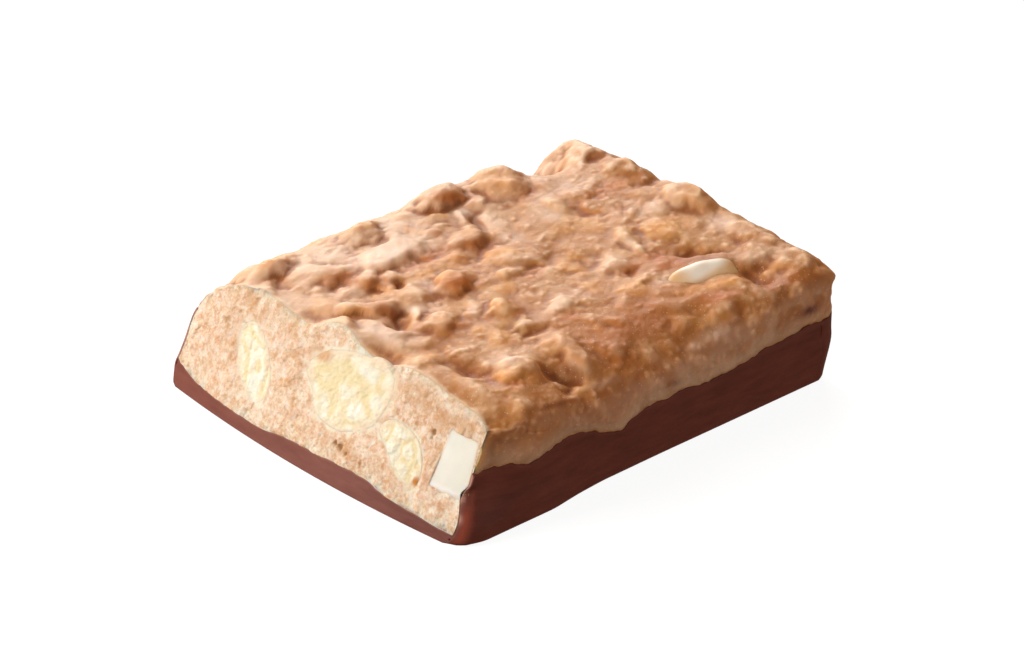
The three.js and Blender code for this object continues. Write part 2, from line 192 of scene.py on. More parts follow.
# %% [markdown]
# The long sides. The knife pressed the bar wider next to the cut and drew its near edge in; the foot
# spread before it set, and low down one corner broke off. All of it goes into one half width, so that
# coat, crumb and chocolate share the same outside.

# %% Long sides
NIP = dict(low=0.6, more=1.4, height=8.5, reach=2.8)
FOOT_HEIGHT = 4.5
RAGGED_REACH = 2.4
BROKEN_CORNER = dict(depth=0.7, reach=0.3, height=4.6)


def half_width(x, side):
    """Half the width, with the swelling that the knife pressed out next to the cut."""
    return HALF_WIDTH + np.where(side < 0, bell(x, **SWELL_FRONT), bell(x, **SWELL_BACK))


def nip(x, y, z, side):
    """How much narrower the near side is just behind the cut, most at the top: the knife drew it in."""
    amount = NIP["low"] + NIP["more"] * smooth(z / NIP["height"])
    return np.where(side < 0, amount * bell(x, cut_x(y, z), NIP["reach"]), 0)


def through(x, points, soft):
    """A smooth curve past a few points: straight lines between them, averaged over soft."""
    xs, ys = np.array(points, float).T
    steps = np.linspace(-soft, soft, 9)
    return np.mean([np.interp(x + step, xs, ys) for step in steps], axis=0)


def outside(x, y, z, side):
    """Half the bar's width here: spread to the foot line on the near side, ragged at the cut on the
    far side, and less where the near corner of the cut broke off low down."""
    upper = half_width(x, side) - nip(x, y, z, side)
    line = np.where(side < 0, through(x, FOOT_LINE, 0.6), through(z, CUT_LEFT, 0.3))
    foot = smooth((FOOT_HEIGHT - z) / FOOT_HEIGHT)
    share = np.where(side < 0, foot, bell(x, cut_x(y, z), RAGGED_REACH))
    broken = BROKEN_CORNER["depth"] * bell(x, cut_x(y, z), BROKEN_CORNER["reach"])
    broken = broken * smooth(BROKEN_CORNER["height"] - z)
    return upper + (line - upper) * share - broken * (side < 0)


print("half width at the foot:", round(float(outside(0.0, 0.0, 0.0, -1)), 2), "mm")

# %% [markdown]
# Irregularity. Food has no straight edge, so each surface gets smooth random swelling: a random value
# at each corner of a grid of cubes, blended in between. Broken flakes come from a grid too: one random
# point in each cube, and how far a place is from the nearest. Both are seeded, so the bar comes out
# the same each time.

# %% Random swelling and flakes
SHUFFLED = 1024


def cube_key(order, at):
    """A number for each cube of a grid, found by looking its three steps up in a shuffled list."""
    at = at % SHUFFLED
    return order[(order[(order[at[..., 0]] + at[..., 1]) % SHUFFLED] + at[..., 2]) % SHUFFLED]


def lattice_noise(points, cell, seed):
    """Random values from -1 to 1 at the corners of cubes of side cell, blended by 6t^5-15t^4+10t^3."""
    draw = np.random.default_rng(seed)
    order, values = draw.permutation(SHUFFLED), draw.uniform(-1, 1, SHUFFLED)
    place = points / cell
    low = np.floor(place).astype(int)
    t = place - low
    t = t * t * t * (t * (6 * t - 15) + 10)
    total = np.zeros(points.shape[:-1])
    for corner in itertools.product((0, 1), repeat=3):
        weight = np.prod(np.where(np.array(corner) == 1, t, 1 - t), axis=-1)
        total += weight * values[cube_key(order, low + corner)]
    return total


def waves(points, *layers):
    """Noise of several sizes added up, each given as its height, cell and seed."""
    return sum(height * lattice_noise(points, cell, seed) for height, cell, seed in layers)


def place_of(*coordinates):
    """Coordinates put side by side, as the places of corners."""
    return np.stack(np.broadcast_arrays(*coordinates), axis=-1)


def grain_cells(points, cell, seed):
    """Distance to the nearest of one random point in each cube of side cell, and that point's number."""
    draw = np.random.default_rng(seed)
    order, jitter = draw.permutation(SHUFFLED), draw.random((SHUFFLED, 3))
    place = points / cell
    low = np.floor(place).astype(int)
    nearest, which = np.full(points.shape[:-1], np.inf), np.zeros(points.shape[:-1], int)
    for step in itertools.product((-1, 0, 1), repeat=3):
        key = cube_key(order, low + step)
        distance = np.linalg.norm(low + step + jitter[key] - place, axis=-1)
        which = np.where(distance < nearest, key, which)
        nearest = np.minimum(distance, nearest)
    return nearest, which / SHUFFLED


print("one value of the noise:", round(float(lattice_noise(place_of(1.0, 2.0, 3.0), 1.7, 1)), 3))

# %% [markdown]
# The rim and the top. The dipped chocolate stopped at a wavy line that rises to the back. The mass
# above it is a low bow with rounded edges, and lumps welded on: a weld lets two lumps meet in a soft
# crease, as coated crisps do.


# %% Rim and top
def rim_height(x, y):
    """Height of the dipped chocolate's rim: its line along the near side, a rise to the back, waves."""
    tilt = RIM_TILT * (y + HALF_WIDTH) * (1 - 0.8 * smooth((x - 9) / 5))
    return through(x, RIM, 0.3) + tilt + waves(place_of(x, y, 0 * x), (0.16, 1.2, 51), (0.13, 0.5, 52))


def roll(distance, width, drop):
    """A quarter ellipse that falls by drop over the last width before an edge."""
    t = np.clip(1 - distance / width, 0, 1)
    return drop * (1 - np.sqrt(1 - t * t))


def ellipse(x, y, at_x, at_y, half_long, half_wide, turn=0):
    """Squared distance from a middle, in half sizes, along axes turned by turn degrees."""
    c, s = math.cos(math.radians(turn)), math.sin(math.radians(turn))
    along = (x - at_x) * c + (y - at_y) * s
    across = (y - at_y) * c - (x - at_x) * s
    return (along / half_long) ** 2 + (across / half_wide) ** 2


def strongest(x, y, places):
    """The strongest of several soft oval spots: a bell of each one's squared distance."""
    out = np.zeros(x.shape)
    for at_x, at_y, long, wide, amount, *turn in places:
        out = np.maximum(out, amount * np.exp(-ellipse(x, y, at_x, at_y, long, wide, *turn)))
    return out


def weld(a, b, fillet):
    """The larger of two heights, with a fillet where they meet."""
    near = np.maximum(fillet - np.abs(a - b), 0) / fillet
    return np.maximum(a, b) + near * near * fillet / 4


def plain_top(x):
    """The top without its lumps: a shallow bow that is lowest next to the cut."""
    return TOP["low"] + TOP["rise"] * ((x - TOP["start"]) / (TOP["end"] - TOP["start"])) ** 2


def stirred(x, y):
    """The same place moved by about half a millimetre, so that no crisp keeps a round outline."""
    at = place_of(x, y, 0.0)
    shift = [waves(at, (0.5, 2.4, seed), (0.3, 1, seed + 2)) for seed in (61, 62)]
    return x + shift[0], y + shift[1]


CUT_TOP = [
    (-17, 8.3), (-16, 8.8), (-15, 9.3), (-12.6, 9.6), (-9.6, 10), (-7, 10.2), (-5.5, 9.9), (-4.3, 9.25),
    (-3, 9.35), (-1.5, 9.75), (0.2, 10.3), (1.8, 10.65), (3.6, 10.2), (4.9, 9.55), (6.2, 9.5), (8.7, 9.8),
    (11.1, 10.1), (14.3, 9.7), (16.2, 8.4), (17.3, 8), (18.3, 7.4),
]


def top_height(x, y):
    """The plain top with each lump's blunt bell h e^(-q^p) welded on, less the hollows and the rolls."""
    stirred_x, stirred_y = stirred(x, y)
    rise = 0 * stirred_x
    for at_x, at_y, long, wide, height, blunt, *turn in LUMPS:
        q = ellipse(stirred_x, stirred_y, *stirred(at_x, at_y), long, wide, *turn)
        rise = weld(rise, height * np.exp(-(q**blunt)), 0.3)
    for at_x, at_y, long, wide, depth, *turn in HOLLOWS:
        rise = rise - depth * np.exp(-ellipse(stirred_x, stirred_y, at_x, at_y, long, wide, *turn))
    z = plain_top(x) + rise
    middle = np.exp(-(((x - ROLL_FRONT["at"]) / ROLL_FRONT["reach"]) ** 4))
    width = ROLL_FRONT["width"] + ROLL_FRONT["extra_width"] * middle
    drop = ROLL_FRONT["drop"] + ROLL_FRONT["extra_drop"] * middle
    z = z - roll(outside(x, y, 8.0, -1) - OVERLAP + y, width, drop)
    z = z - roll(outside(x, y, 8.0, 1) - OVERLAP - y, **ROLL_BACK) - roll(END_X - OVERLAP - x, **ROLL_END)
    z = z + (through(y, CUT_TOP, 0.4) - z) * bell(x, cut_x(y, 10), 1.5)
    return np.maximum(z, rim_height(x, y) + 0.4)


print("top of the mass at the middle:", round(float(top_height(0.0, 0.0)), 2), "mm")

# %% [markdown]
# Meshes. A closed block is a box made of small steps: each corner has three whole numbers, and a
# formula moves it onto the bar. Corners that two sides share are found by those numbers, so the skin
# has no seam.


# %% Closed block and mesh
def box_lattice(*steps):
    """Corners as whole numbers and quads of a box with the given steps, faces turned outwards."""
    sides = []
    for axis in range(3):
        u, v = (axis + 1) % 3, (axis + 2) % 3
        i, j = np.meshgrid(np.arange(steps[u]), np.arange(steps[v]), indexing="ij")
        for end in (0, steps[axis]):
            quads = np.zeros(i.shape + (4, 3), int)
            turn = ((0, 0), (1, 0), (1, 1), (0, 1)) if end else ((0, 0), (0, 1), (1, 1), (1, 0))
            for n, (di, dj) in enumerate(turn):
                quads[..., n, u], quads[..., n, v], quads[..., n, axis] = i + di, j + dj, end
            sides.append(quads.reshape(-1, 3))
    every = np.concatenate(sides)
    key = (every[:, 0] * (steps[1] + 1) + every[:, 1]) * (steps[2] + 1) + every[:, 2]
    _, first, index = np.unique(key, return_index=True, return_inverse=True)
    return every[first], index.reshape(-1, 4)


def flat_floor(lattice, quads):
    """The same box with its underside as one many-sided face, to save steps where nothing shows."""
    steps = lattice.max(axis=0)
    quads = quads[~(lattice[quads][..., 2] == 0).all(axis=1)]
    used, index = np.unique(quads, return_inverse=True)
    lattice, quads = lattice[used], index.reshape(-1, 4)
    low = np.flatnonzero(lattice[:, 2] == 0)
    angle = np.arctan2(lattice[low, 1] / steps[1] - 0.5, lattice[low, 0] / steps[0] - 0.5)
    return lattice, quads, low[np.argsort(-angle)].tolist()


def corner_normals(points, quads):
    """Each corner's outward direction: the sum of its quads' diagonal products, made unit long."""
    p = points[quads]
    face = np.cross(p[:, 2] - p[:, 0], p[:, 3] - p[:, 1])
    total = np.zeros_like(points)
    for axis in range(3):
        total[:, axis] = np.bincount(quads.ravel(), np.repeat(face[:, axis], 4), len(points))
    return total / np.maximum(np.linalg.norm(total, axis=1, keepdims=True), 1e-12)


def spread(quads, values, passes):
    """Each value replaced by the mean over its quads, again and again."""
    total = np.bincount(quads.ravel(), minlength=len(values))
    for _ in range(passes):
        mean = values[quads].mean(axis=1)
        values = np.bincount(quads.ravel(), np.repeat(mean, 4), len(values)) / total
    return values


print("corners of a box of 4 by 3 by 2 steps:", len(box_lattice(4, 3, 2)[0]))

# %% [markdown]
# A piece.


# %% A finished piece
def make_piece(name, points, faces, material, node, marks=None):
    """A mesh object from points in millimetres, riding with the bar in place of its solid."""
    mesh = bpy.data.meshes.new(name)
    mesh.from_pydata((points * MM).tolist(), [], faces)
    for mark, values in (marks or {}).items():
        layer = mesh.attributes.new(mark, "FLOAT", "POINT")
        layer.data.foreach_set("value", np.asarray(values, np.float32).ravel())
    mesh.polygons.foreach_set("use_smooth", np.ones(len(mesh.polygons), bool))
    mesh.materials.append(material)
    piece = bpy.data.objects.new(name, mesh)
    bpy.context.scene.collection.objects.link(piece)
    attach(piece, "root")
    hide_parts(node)
    triangles = sum(len(face) - 2 for face in faces)
    print(name, len(points), "points,", triangles, "triangles")
    return piece


# %% [markdown]
# Finishes. All of these are fats and starches that light enters: it scatters under the surface and
# comes out warmer, which is why the shaded side of a crisp glows orange. So each material is a
# Principled shader with subsurface light, its colours given as the sRGB numbers that the eye would
# match, and its patterns in true millimetres on Object coordinates. What lies where is painted on the
# meshes as marks, one number at each corner, and a material lays a colour over where a mark says so.
# Some marks paint light and shade into the colour: shade in hollows, pits and creases and on sides
# turned from the light, and highlights, sheen and glints.


# %% Shader helpers
def colour(code):
    """sRGB hex to linear numbers: below 0.04045 divide by 12.92, above raise by 2.4."""
    parts = [int(code[i : i + 2], 16) / 255 for i in (1, 3, 5)]
    return (*[c / 12.92 if c <= 0.04045 else ((c + 0.055) / 1.055) ** 2.4 for c in parts], 1)


def feed(material, node, inputs):
    """Inputs of a node by name: linked where the source is a socket, set where it is a value."""
    for name, source in inputs.items():
        if isinstance(source, bpy.types.NodeSocket):
            material.node_tree.links.new(source, node.inputs[name])
        else:
            node.inputs[name].default_value = source


def add(material, kind, inputs, stops=(), **options):
    """A node of the given kind with its options, inputs and, for a ramp, stops. Gives its outputs."""
    node = material.node_tree.nodes.new("ShaderNode" + kind)
    for name, value in options.items():
        setattr(node, name, value)
    for _ in stops[2:]:
        node.color_ramp.elements.new(0.5)
    for place, (position, tone) in enumerate(stops):
        element = node.color_ramp.elements[place]
        element.position = position
        element.color = colour(tone) if isinstance(tone, str) else (tone, tone, tone, 1)
    feed(material, node, inputs)
    return node.outputs


def lay_over(material, tone, layers):
    """Colours laid over a tone in turn. How thick each lies is a mark's name, a socket or a number."""
    for cover, top in layers:
        if isinstance(cover, str):
            cover = add(material, "Attribute", {}, attribute_name=cover)["Fac"]
        top = colour(top) if isinstance(top, str) else top
        tone = add(material, "Mix", {0: cover, 6: tone, 7: top}, data_type="RGBA")[2]
    return tone


def new_material(name):
    """A material with its Principled shader, and a node of Object coordinates."""
    material = bpy.data.materials.new(name)
    material.use_nodes = True
    return material, material.node_tree.nodes["Principled BSDF"], add(material, "TexCoord", {})["Object"]


def per_mm(size):
    """Scale of a texture on Object coordinates, in metres, whose features are size millimetres."""
    return 1 / (size * MM)


print("noise with features of 1 mm has a scale of", per_mm(1))


# %% [markdown]
# Brown chocolate: the bar's foot was dipped and set against air, which leaves a satin skin. Streaks
# drawn out along the bar keep it from looking like plastic. The knife smeared it paler and pinker, and
# along the layer's upper edge at the cut a pale pink painted highlight goes with the smear; a red-brown
# painted highlight runs along the edge of the cut's near corner.

# %% Brown chocolate
brown, shader, where = new_material("dipped_milk_chocolate")
drawn_out = add(brown, "Mapping", {"Vector": where, "Scale": (0.25, 0.25, 1)})["Vector"]
streaks = add(brown, "TexNoise", {
    "Vector": drawn_out, "Scale": per_mm(0.9), "Detail": 4, "Roughness": 0.6})["Fac"]
dipped = add(brown, "ValToRGB", {"Fac": streaks}, ((0.3, "#673226"), (0.7, "#7b4032")))["Color"]
sliced = add(brown, "ValToRGB", {"Fac": streaks}, ((0.25, "#7a4235"), (0.75, "#8b5244")))["Color"]
feed(brown, shader, {
    # Over the cut colour: the smear with a painted highlight on the layer's edge, then a painted highlight
    # on the near corner's edge.
    "Base Color": lay_over(brown, dipped, [("cut", sliced), ("smear_and_edge_highlight", "#bd8a79"), ("corner", "#a04a34")]),
    "Normal": add(brown, "Bump", {"Height": streaks, "Distance": 0.05 * MM})["Normal"],
    "Roughness": 0.5, "Specular IOR Level": 0.2, "IOR": 1.47,
    "Subsurface Weight": 0.3, "Subsurface Scale": 0.2 * MM, "Subsurface Radius": (1, 0.45, 0.3),
})
print("brown chocolate: satin, with streaks of about a millimetre")

# %% [markdown]
# Caramel-coloured coat: white chocolate with caramel over crisps. Light goes deep into it, so it
# looks waxy. It is pale where it lies thick and golden where a toasted crisp shines through. Painted
# shade makes it orange brown in the hollows and on the sides of the crisps turned from the light; a
# painted highlight lightens the crests and a painted sheen the back of the top. Fine sugar specks and
# painted glints show as pale dots, and the low near side is paler with dust and painted light.

# %% Caramel-coloured coat
coat_skin, shader, where = new_material("caramel_chocolate_coat")
broad = add(coat_skin, "TexNoise", {"Vector": where, "Scale": per_mm(3.2), "Detail": 3})["Fac"]
fine = add(coat_skin, "TexNoise", {
    "Vector": where, "Scale": per_mm(0.6), "Detail": 5, "Roughness": 0.7})["Fac"]
specks = add(coat_skin, "TexVoronoi", {"Vector": where, "Scale": per_mm(0.4), "Randomness": 1})["Distance"]
caramel = add(coat_skin, "ValToRGB", {"Fac": broad},
              ((0.3, "#b4753a"), (0.5, "#c2864c"), (0.72, "#d6a472")))["Color"]
mottled = add(coat_skin, "ValToRGB", {"Fac": fine}, ((0.4, 0), (0.72, 0.5)))["Color"]
dots = add(coat_skin, "ValToRGB", {"Fac": specks}, ((0.04, 0.5), (0.2, 0)))["Color"]
# Sugar specks and painted glints: pale dots over the coat.
sugar_and_glints = lay_over(coat_skin, colour("#000000"), [("specks_and_glints", dots)])
# Painted among these: crest highlight, sheen at the back, shade on lee sides and in hollows, light in dust
# and lip, glints.
base = lay_over(coat_skin, caramel, [
    (mottled, "#aa6a32"), ("painted_crest_highlight", "#e6bf98"), ("painted_back_sheen", "#ecc8a9"), ("pale", "#f3d4ba"),
    ("golden", "#e09a48"), ("painted_lee_shade", "#bd6d2b"), ("painted_hollow_shade", "#9d5a28"), ("low_band", "#c69a78"),
    ("dust_and_painted_fill", "#f2d0b2"), ("golden_lip_and_painted_light", "#f3b97c"), ("smudge", "#74362a"), (sugar_and_glints, "#f9dcb8"),
])
feed(coat_skin, shader, {
    "Base Color": base, "Normal": add(coat_skin, "Bump", {"Height": fine, "Distance": 0.1 * MM})["Normal"],
    "Roughness": 0.5, "Specular IOR Level": 0.35, "IOR": 1.45,
    "Subsurface Weight": 0.75, "Subsurface Scale": 0.6 * MM, "Subsurface Radius": (1, 0.55, 0.3),
})
print("caramel coat: waxy, sugar specks of 0.4 mm")

# %% [markdown]
# Cut crumb: the mass where the knife went through. It is dry, broken crisps in a pinkish paste, with
# no shine at all, nearly white in the light. Flakes, dust and grit of three sizes break it up, and
# pits are left where a crisp was torn out, painted brown as the shade in them.

# %% Cut crumb
crumb_skin, shader, where = new_material("cut_crisp_crumb")
flakes = add(crumb_skin, "TexVoronoi", {"Vector": where, "Scale": per_mm(0.9), "Randomness": 1})["Color"]
patches, dust, grit = (
    add(crumb_skin, "TexNoise", {
        "Vector": where, "Scale": per_mm(size), "Detail": detail, "Roughness": rough})["Fac"]
    for size, detail, rough in ((2.2, 4, 0.6), (0.8, 5, 0.7), (0.28, 3, 0.6))
)
paste = add(crumb_skin, "ValToRGB", {"Fac": patches},
            ((0.3, "#e2b892"), (0.45, "#f2d4b8"), (0.55, "#fae6cf"), (0.7, "#e9c49c")))["Color"]
flaky = add(crumb_skin, "ValToRGB", {"Fac": flakes},
            ((0.2, "#dfb086"), (0.5, "#f8e5cb"), (0.8, "#ebc49a")))["Color"]
crumbs = [(0.45, flaky)]
for source, stops, tone in (
    (dust, ((0.5, 0), (0.64, 0.6)), "#cf9b6d"), (dust, ((0.34, 0.8), (0.46, 0)), "#fbeede"),
    (grit, ((0.54, 0), (0.66, 0.4)), "#c48f62"), (grit, ((0.34, 0.5), (0.45, 0)), "#fff6ea"),
):
    crumbs.append((add(crumb_skin, "ValToRGB", {"Fac": source}, stops)["Color"], tone))
# The pit layer is painted shade: brown in the pits.
crumbs += [("airy", "#fbeed4"), ("toast", "#cd9866"), ("pit_with_painted_shade", "#a87d50")]
feed(crumb_skin, shader, {
    "Base Color": lay_over(crumb_skin, paste, crumbs),
    "Normal": add(crumb_skin, "Bump", {"Height": dust, "Distance": 0.12 * MM})["Normal"],
    "Roughness": 0.85, "Specular IOR Level": 0.2, "IOR": 1.4,
    "Subsurface Weight": 0.5, "Subsurface Scale": 0.25 * MM, "Subsurface Radius": (1, 0.6, 0.4),
})
print("cut crumb: dry, in", len(crumbs), "layers of colour")

# %% [markdown]
# Puffed cereal: a dry foam of starch. It scatters nearly all colours alike, so it stays pale yellow;
# the creases of its folds are painted olive as shade, and its rim is a little toasted.

# %% Puffed cereal
puff_skin, shader, where = new_material("puffed_cereal_foam")
foam = add(puff_skin, "TexVoronoi", {"Vector": where, "Scale": per_mm(0.3), "Randomness": 1})["Distance"]
cloud = add(puff_skin, "TexNoise", {"Vector": where, "Scale": per_mm(1.2), "Detail": 4})["Fac"]
starch = add(puff_skin, "ValToRGB", {"Fac": cloud}, ((0.35, "#f7e6c4"), (0.6, "#fef6e2")))["Color"]
base = lay_over(puff_skin, starch, [("fold_crease_shade", "#ecd9a4"), ("rim", "#f6dfc0"), ("toast", "#cf8c4a")])
feed(puff_skin, shader, {
    "Base Color": base, "Normal": add(puff_skin, "Bump", {"Height": foam, "Distance": 0.06 * MM})["Normal"],
    "Roughness": 0.85, "Specular IOR Level": 0.2, "IOR": 1.35,
    "Subsurface Weight": 0.6, "Subsurface Scale": 0.35 * MM, "Subsurface Radius": (1, 0.85, 0.65),
})
print("puffed cereal: dry foam with cells of 0.3 mm")

# %% [markdown]
# Nut flesh: blanched and cut with a knife, so it is dense and smooth. Ivory with a green cast, it
# lets light in like wax. Crumb clings to its border, and the coat runs over its edges.

# %% Nut flesh
nut_skin, shader, where = new_material("ivory_nut_flesh")
grain = add(nut_skin, "TexNoise", {"Vector": where, "Scale": per_mm(2.5), "Detail": 3})["Fac"]
ivory = add(nut_skin, "ValToRGB", {"Fac": grain}, ((0.35, "#e9e6d6"), (0.65, "#f1eee2")))["Color"]
base = lay_over(nut_skin, ivory, [("milky", "#fbf4ee"), ("crumbed", "#f6e0c6"), ("coated", "#e2b47c")])
feed(nut_skin, shader, {
    "Base Color": base, "Normal": add(nut_skin, "Bump", {"Height": grain, "Distance": 0.05 * MM})["Normal"],
    "Roughness": 0.5, "IOR": 1.47,
    "Subsurface Weight": 0.7, "Subsurface Scale": 0.5 * MM, "Subsurface Radius": (1, 0.85, 0.6),
})
print("finishes:", [m.name for m in bpy.data.materials])

# %% [markdown]
# The coat: the whole mass as one closed block whose corners lie on the form above. A coat poured over
# crisps has no seam, and a block has none either. Its front end is set back a little inside a hairline
# rim, where the cut crumb goes.

# %% Coat
TRAY_GAP = 0.1


def crowded(share, reach):
    """Even steps from 0 to 1 made to crowd within reach of 1, by a hyperbola."""
    rest = 1 - share
    return 1 - (np.sqrt(rest**2 + reach**2) - reach) / (math.sqrt(1 + reach**2) - reach)


COAT_STEPS = (288, 240, 26)
BURIED = 0.08


def coat_level(x, y, level):
    """Up the wall: the first steps inside the tray, the rest from the rim to the top."""
    low = rim_height(x, y) - 0.5
    inside = MASS_BOTTOM + (low - MASS_BOTTOM) * np.clip(level / BURIED, 0, 1)
    return inside + (top_height(x, y) - low) * np.clip((level - BURIED) / (1 - BURIED), 0, 1)


def wall(x, y, z):
    """The tray's wall is thin, and thins further to the cut."""
    return WALL_AT_CUT + (WALL - WALL_AT_CUT) * smooth((x - cut_x(y, z)) / 2.5)


def coat_inset(x, y, z):
    """The coat stands inside the tray's wall, and spreads over the rim above it."""
    over = smooth((z - rim_height(x, y) + 0.35) / 0.35)
    inside = wall(x, y, z) + TRAY_GAP
    return inside + over * (OVERLAP - inside)


def coat_places(lattice):
    """Corners moved onto the bar: x runs from the cut to the end, y across, z up through the levels.

    The three depend on each other, so they are found by repeating their formulas.
    """
    along = crowded(lattice[:, 0] / COAT_STEPS[0], 0.03)
    across = 2 * lattice[:, 1] / COAT_STEPS[1] - 1
    across = np.sign(across) * crowded(np.abs(across), 0.12)
    x, y = CUT["foot"] + along * (END_X - CUT["foot"]), across * HALF_WIDTH
    for _ in range(PASSES):
        z = coat_level(x, y, lattice[:, 2] / COAT_STEPS[2])
        edge = coat_inset(x, y, z)
        y = across * (outside(x, y, z, across) - edge)
        x = cut_x(y, z) + along * (end_x(y, z, edge) - cut_x(y, z))
    return place_of(x, y, z)


lattice, quads, underside = flat_floor(*box_lattice(*COAT_STEPS))
coat = coat_places(lattice)
shown = smooth((coat[:, 2] - rim_height(coat[:, 0], coat[:, 1]) + 0.1) / 0.5)
print("coat spans", np.round(coat.min(0), 2), "to", np.round(coat.max(0), 2), "mm")

# %% [markdown]
# Small crisps. Between the lumps the coat hugs hundreds of broken crisps, oval grains that lie every
# way. Each is an oval dome pushed out along the surface; the higher of two overlapping domes wins,
# with a small fillet, which leaves the creases between grains that the eye reads as crunch.

# %% Small crisps on the coat
CALM = [
    (-5, 10, 4.4, 2.2, 0.75), (-14, -1, 2.2, 2.8, 0.9), (-14.2, -11.8, 1.8, 4, 0.8),
    (-13.2, 11.6, 2.4, 1.8, 0.5), (8.5, 3, 3.5, 5.5, 0.5), (20.6, -7, 1.6, 4.5, 0.5),
    (-16, 8, 1.2, 4, 0.5), (6, 12, 2.5, 2, 0.4),
]
normals = corner_normals(coat, quads)
calm = np.ones(len(coat))
for at_x, at_y, long, wide, amount in CALM:
    calm *= 1 - amount * np.exp(-ellipse(coat[:, 0], coat[:, 1], at_x, at_y, long, wide) ** 2)


def oval_grains(points, count, longest, flatness, height, seed, fillet):
    """Oval domes h(1 - q) round random corners, welded. Also says how golden each corner's grain is."""
    draw = np.random.default_rng(seed)
    places = draw.choice(np.flatnonzero(shown > 0.8), count, replace=False)
    out, gold = np.zeros(len(points)), np.zeros(len(points))
    for place in places:
        long = draw.uniform(0.5, 1) * longest
        wide = long * draw.uniform(*flatness)
        axis = np.cross(normals[place], draw.normal(size=3))
        axis /= np.linalg.norm(axis)
        near = np.flatnonzero(np.abs(points - points[place]).max(axis=1) < 1.2 * long)
        away = points[near] - points[place]
        along = away @ axis
        q = ((away**2).sum(axis=1) - along**2) / wide**2 + along**2 / long**2
        dome = height * (0.4 + 0.6 * draw.random()) * wide * (1 - q)
        tint = draw.random() ** 3
        gold[near] = np.where(dome > out[near], tint, gold[near])
        out[near] = weld(out[near], dome, fillet)
    return out, gold * (out > 0.3 * fillet)


steep = smooth(-normals[:, 1] - 0.4)
warped = coat + 0.35 * np.stack([lattice_noise(coat, 1.5, seed) for seed in (71, 72, 73)], axis=1)
large, large_gold = oval_grains(warped, 420, 1.8, (0.5, 0.85), 0.26, 81, 0.08)
middle, middle_gold = oval_grains(warped, 1000, 0.85, (0.5, 0.9), 0.20, 82, 0.04)
small, _ = oval_grains(coat, 3000, 0.40, (0.6, 1.0), 0.28, 83, 0.03)
relief = spread(quads, large, 5) - 0.08 + spread(quads, middle, 3) - 0.02
relief = relief * calm * (1 + 0.5 * steep) + small * (0.35 + 0.65 * calm) * (1 + 1.6 * steep)
relief += waves(coat, (0.1, 2.6, 1), (0.05, 1.1, 2), (0.02, 0.4, 3))
coat = coat + normals * (relief * shown)[:, None]
coat[:, 2] = np.maximum(coat[:, 2], 1.2)
front = lattice[:, 0] == 0
past = cut_x(coat[:, 1], coat[:, 2])
coat[:, 0] = np.where(front, past, np.maximum(coat[:, 0], past + 0.002))
low_corner, high_corner = np.array(cad_box) / MM
coat = np.clip(coat, low_corner, high_corner)
edge = np.minimum.reduce([lattice[:, 1], COAT_STEPS[1] - lattice[:, 1], COAT_STEPS[2] - lattice[:, 2]])
coat[front, 0] += 0.3 * smooth((edge[front] - 1) / 2)
print("relief from", round(relief.min(), 2), "to", round(relief.max(), 2), "mm")

# %% [markdown]
# Colour marks of the coat. How deep a corner lies between its neighbours gives the painted highlight on
# the crests and the painted shade in the hollows; spots read off the photo give the dark and orange
# painted shade and the golden and pale places. A spot is its place, half length and half width,
# strength and, where it has one, its turn.

# %% Marks on the coat
# Places of dark painted shade: recesses, creases and the slopes that lie in shade.
DARK_SHADE_SPOTS = [
    (-15.3, 12, 1.2, 1.6, 0.4), (-10.9, 8.8, 1, 0.7, 0.6), (-9, 6.3, 0.8, 0.9, 0.6),
    (-7.8, 5.7, 0.7, 0.7, 0.8), (-11.5, 0.8, 0.8, 1.9, 0.9, -15), (-11, -2.5, 1.3, 1.8, 0.4),
    (1.5, 5.6, 1.6, 1, 0.4), (3.3, 7.5, 0.5, 1.4, 0.5, -20), (21, 12.3, 1.2, 1.4, 0.6),
    (18.5, 5.3, 1.3, 0.6, 0.5), (9, -6.2, 1.6, 0.6, 0.6), (15.2, -8.2, 2.4, 0.9, 0.9, -35),
    (-6, -15.3, 0.8, 1.6, 0.9), (-11.8, -10, 0.6, 2, 0.5), (16.6, -15, 1.8, 1.2, 0.9),
    (20.3, -16.5, 0.8, 1.5, 0.7), (-10.3, -18.6, 2.3, 0.5, 0.95, -16), (3.5, -14, 6, 3, 0.4, 8),
]
# Places of orange painted shade, mostly on the lee sides of lumps.
ORANGE_SHADE_SPOTS = [
    (-11, 9, 1.8, 1.3, 0.7), (-9.2, 6.8, 1.3, 1.3, 0.5), (-3, 7, 2.8, 0.8, 0.8, 12),
    (-3.6, 2, 1.7, 1.5, 0.9), (-11.6, 2, 1.2, 2.2, 0.6, -15), (-8.5, -3.3, 1.8, 1.2, 0.5),
    (1.8, 6.6, 1.9, 1.4, 0.6), (5.5, 14.7, 1.6, 1.6, 0.8), (0.5, 10.3, 0.7, 1, 0.5),
    (-0.8, 5, 0.8, 2.5, 0.4), (11.3, 10.8, 1.6, 0.6, 0.6, 15), (12.8, 5.5, 0.6, 1.6, 0.6),
    (17.5, 7, 3.5, 1.2, 0.6, 10), (12.3, -5.3, 1.2, 1.1, 0.9), (12.5, -7, 2, 1.2, 0.8),
    (9, -5.5, 2, 0.9, 0.5), (-3, -5.2, 0.9, 0.6, 0.6), (-0.2, -8.4, 1.4, 0.8, 0.6),
    (2, -0.6, 1.7, 0.5, 0.6), (-10.5, -14, 1.3, 1, 0.6), (11.5, -13.8, 2.2, 1, 0.8, -20),
    (2.5, -12.5, 6.5, 3.2, 0.6, 8), (-1.5, -16.8, 2, 1, 0.6), (8, -12, 3, 2.5, 0.4),
    (18.5, -15.5, 3, 1.2, 0.5), (15.5, 3, 2, 0.8, 0.3), (21.7, 7.2, 1, 0.8, 0.5),
]
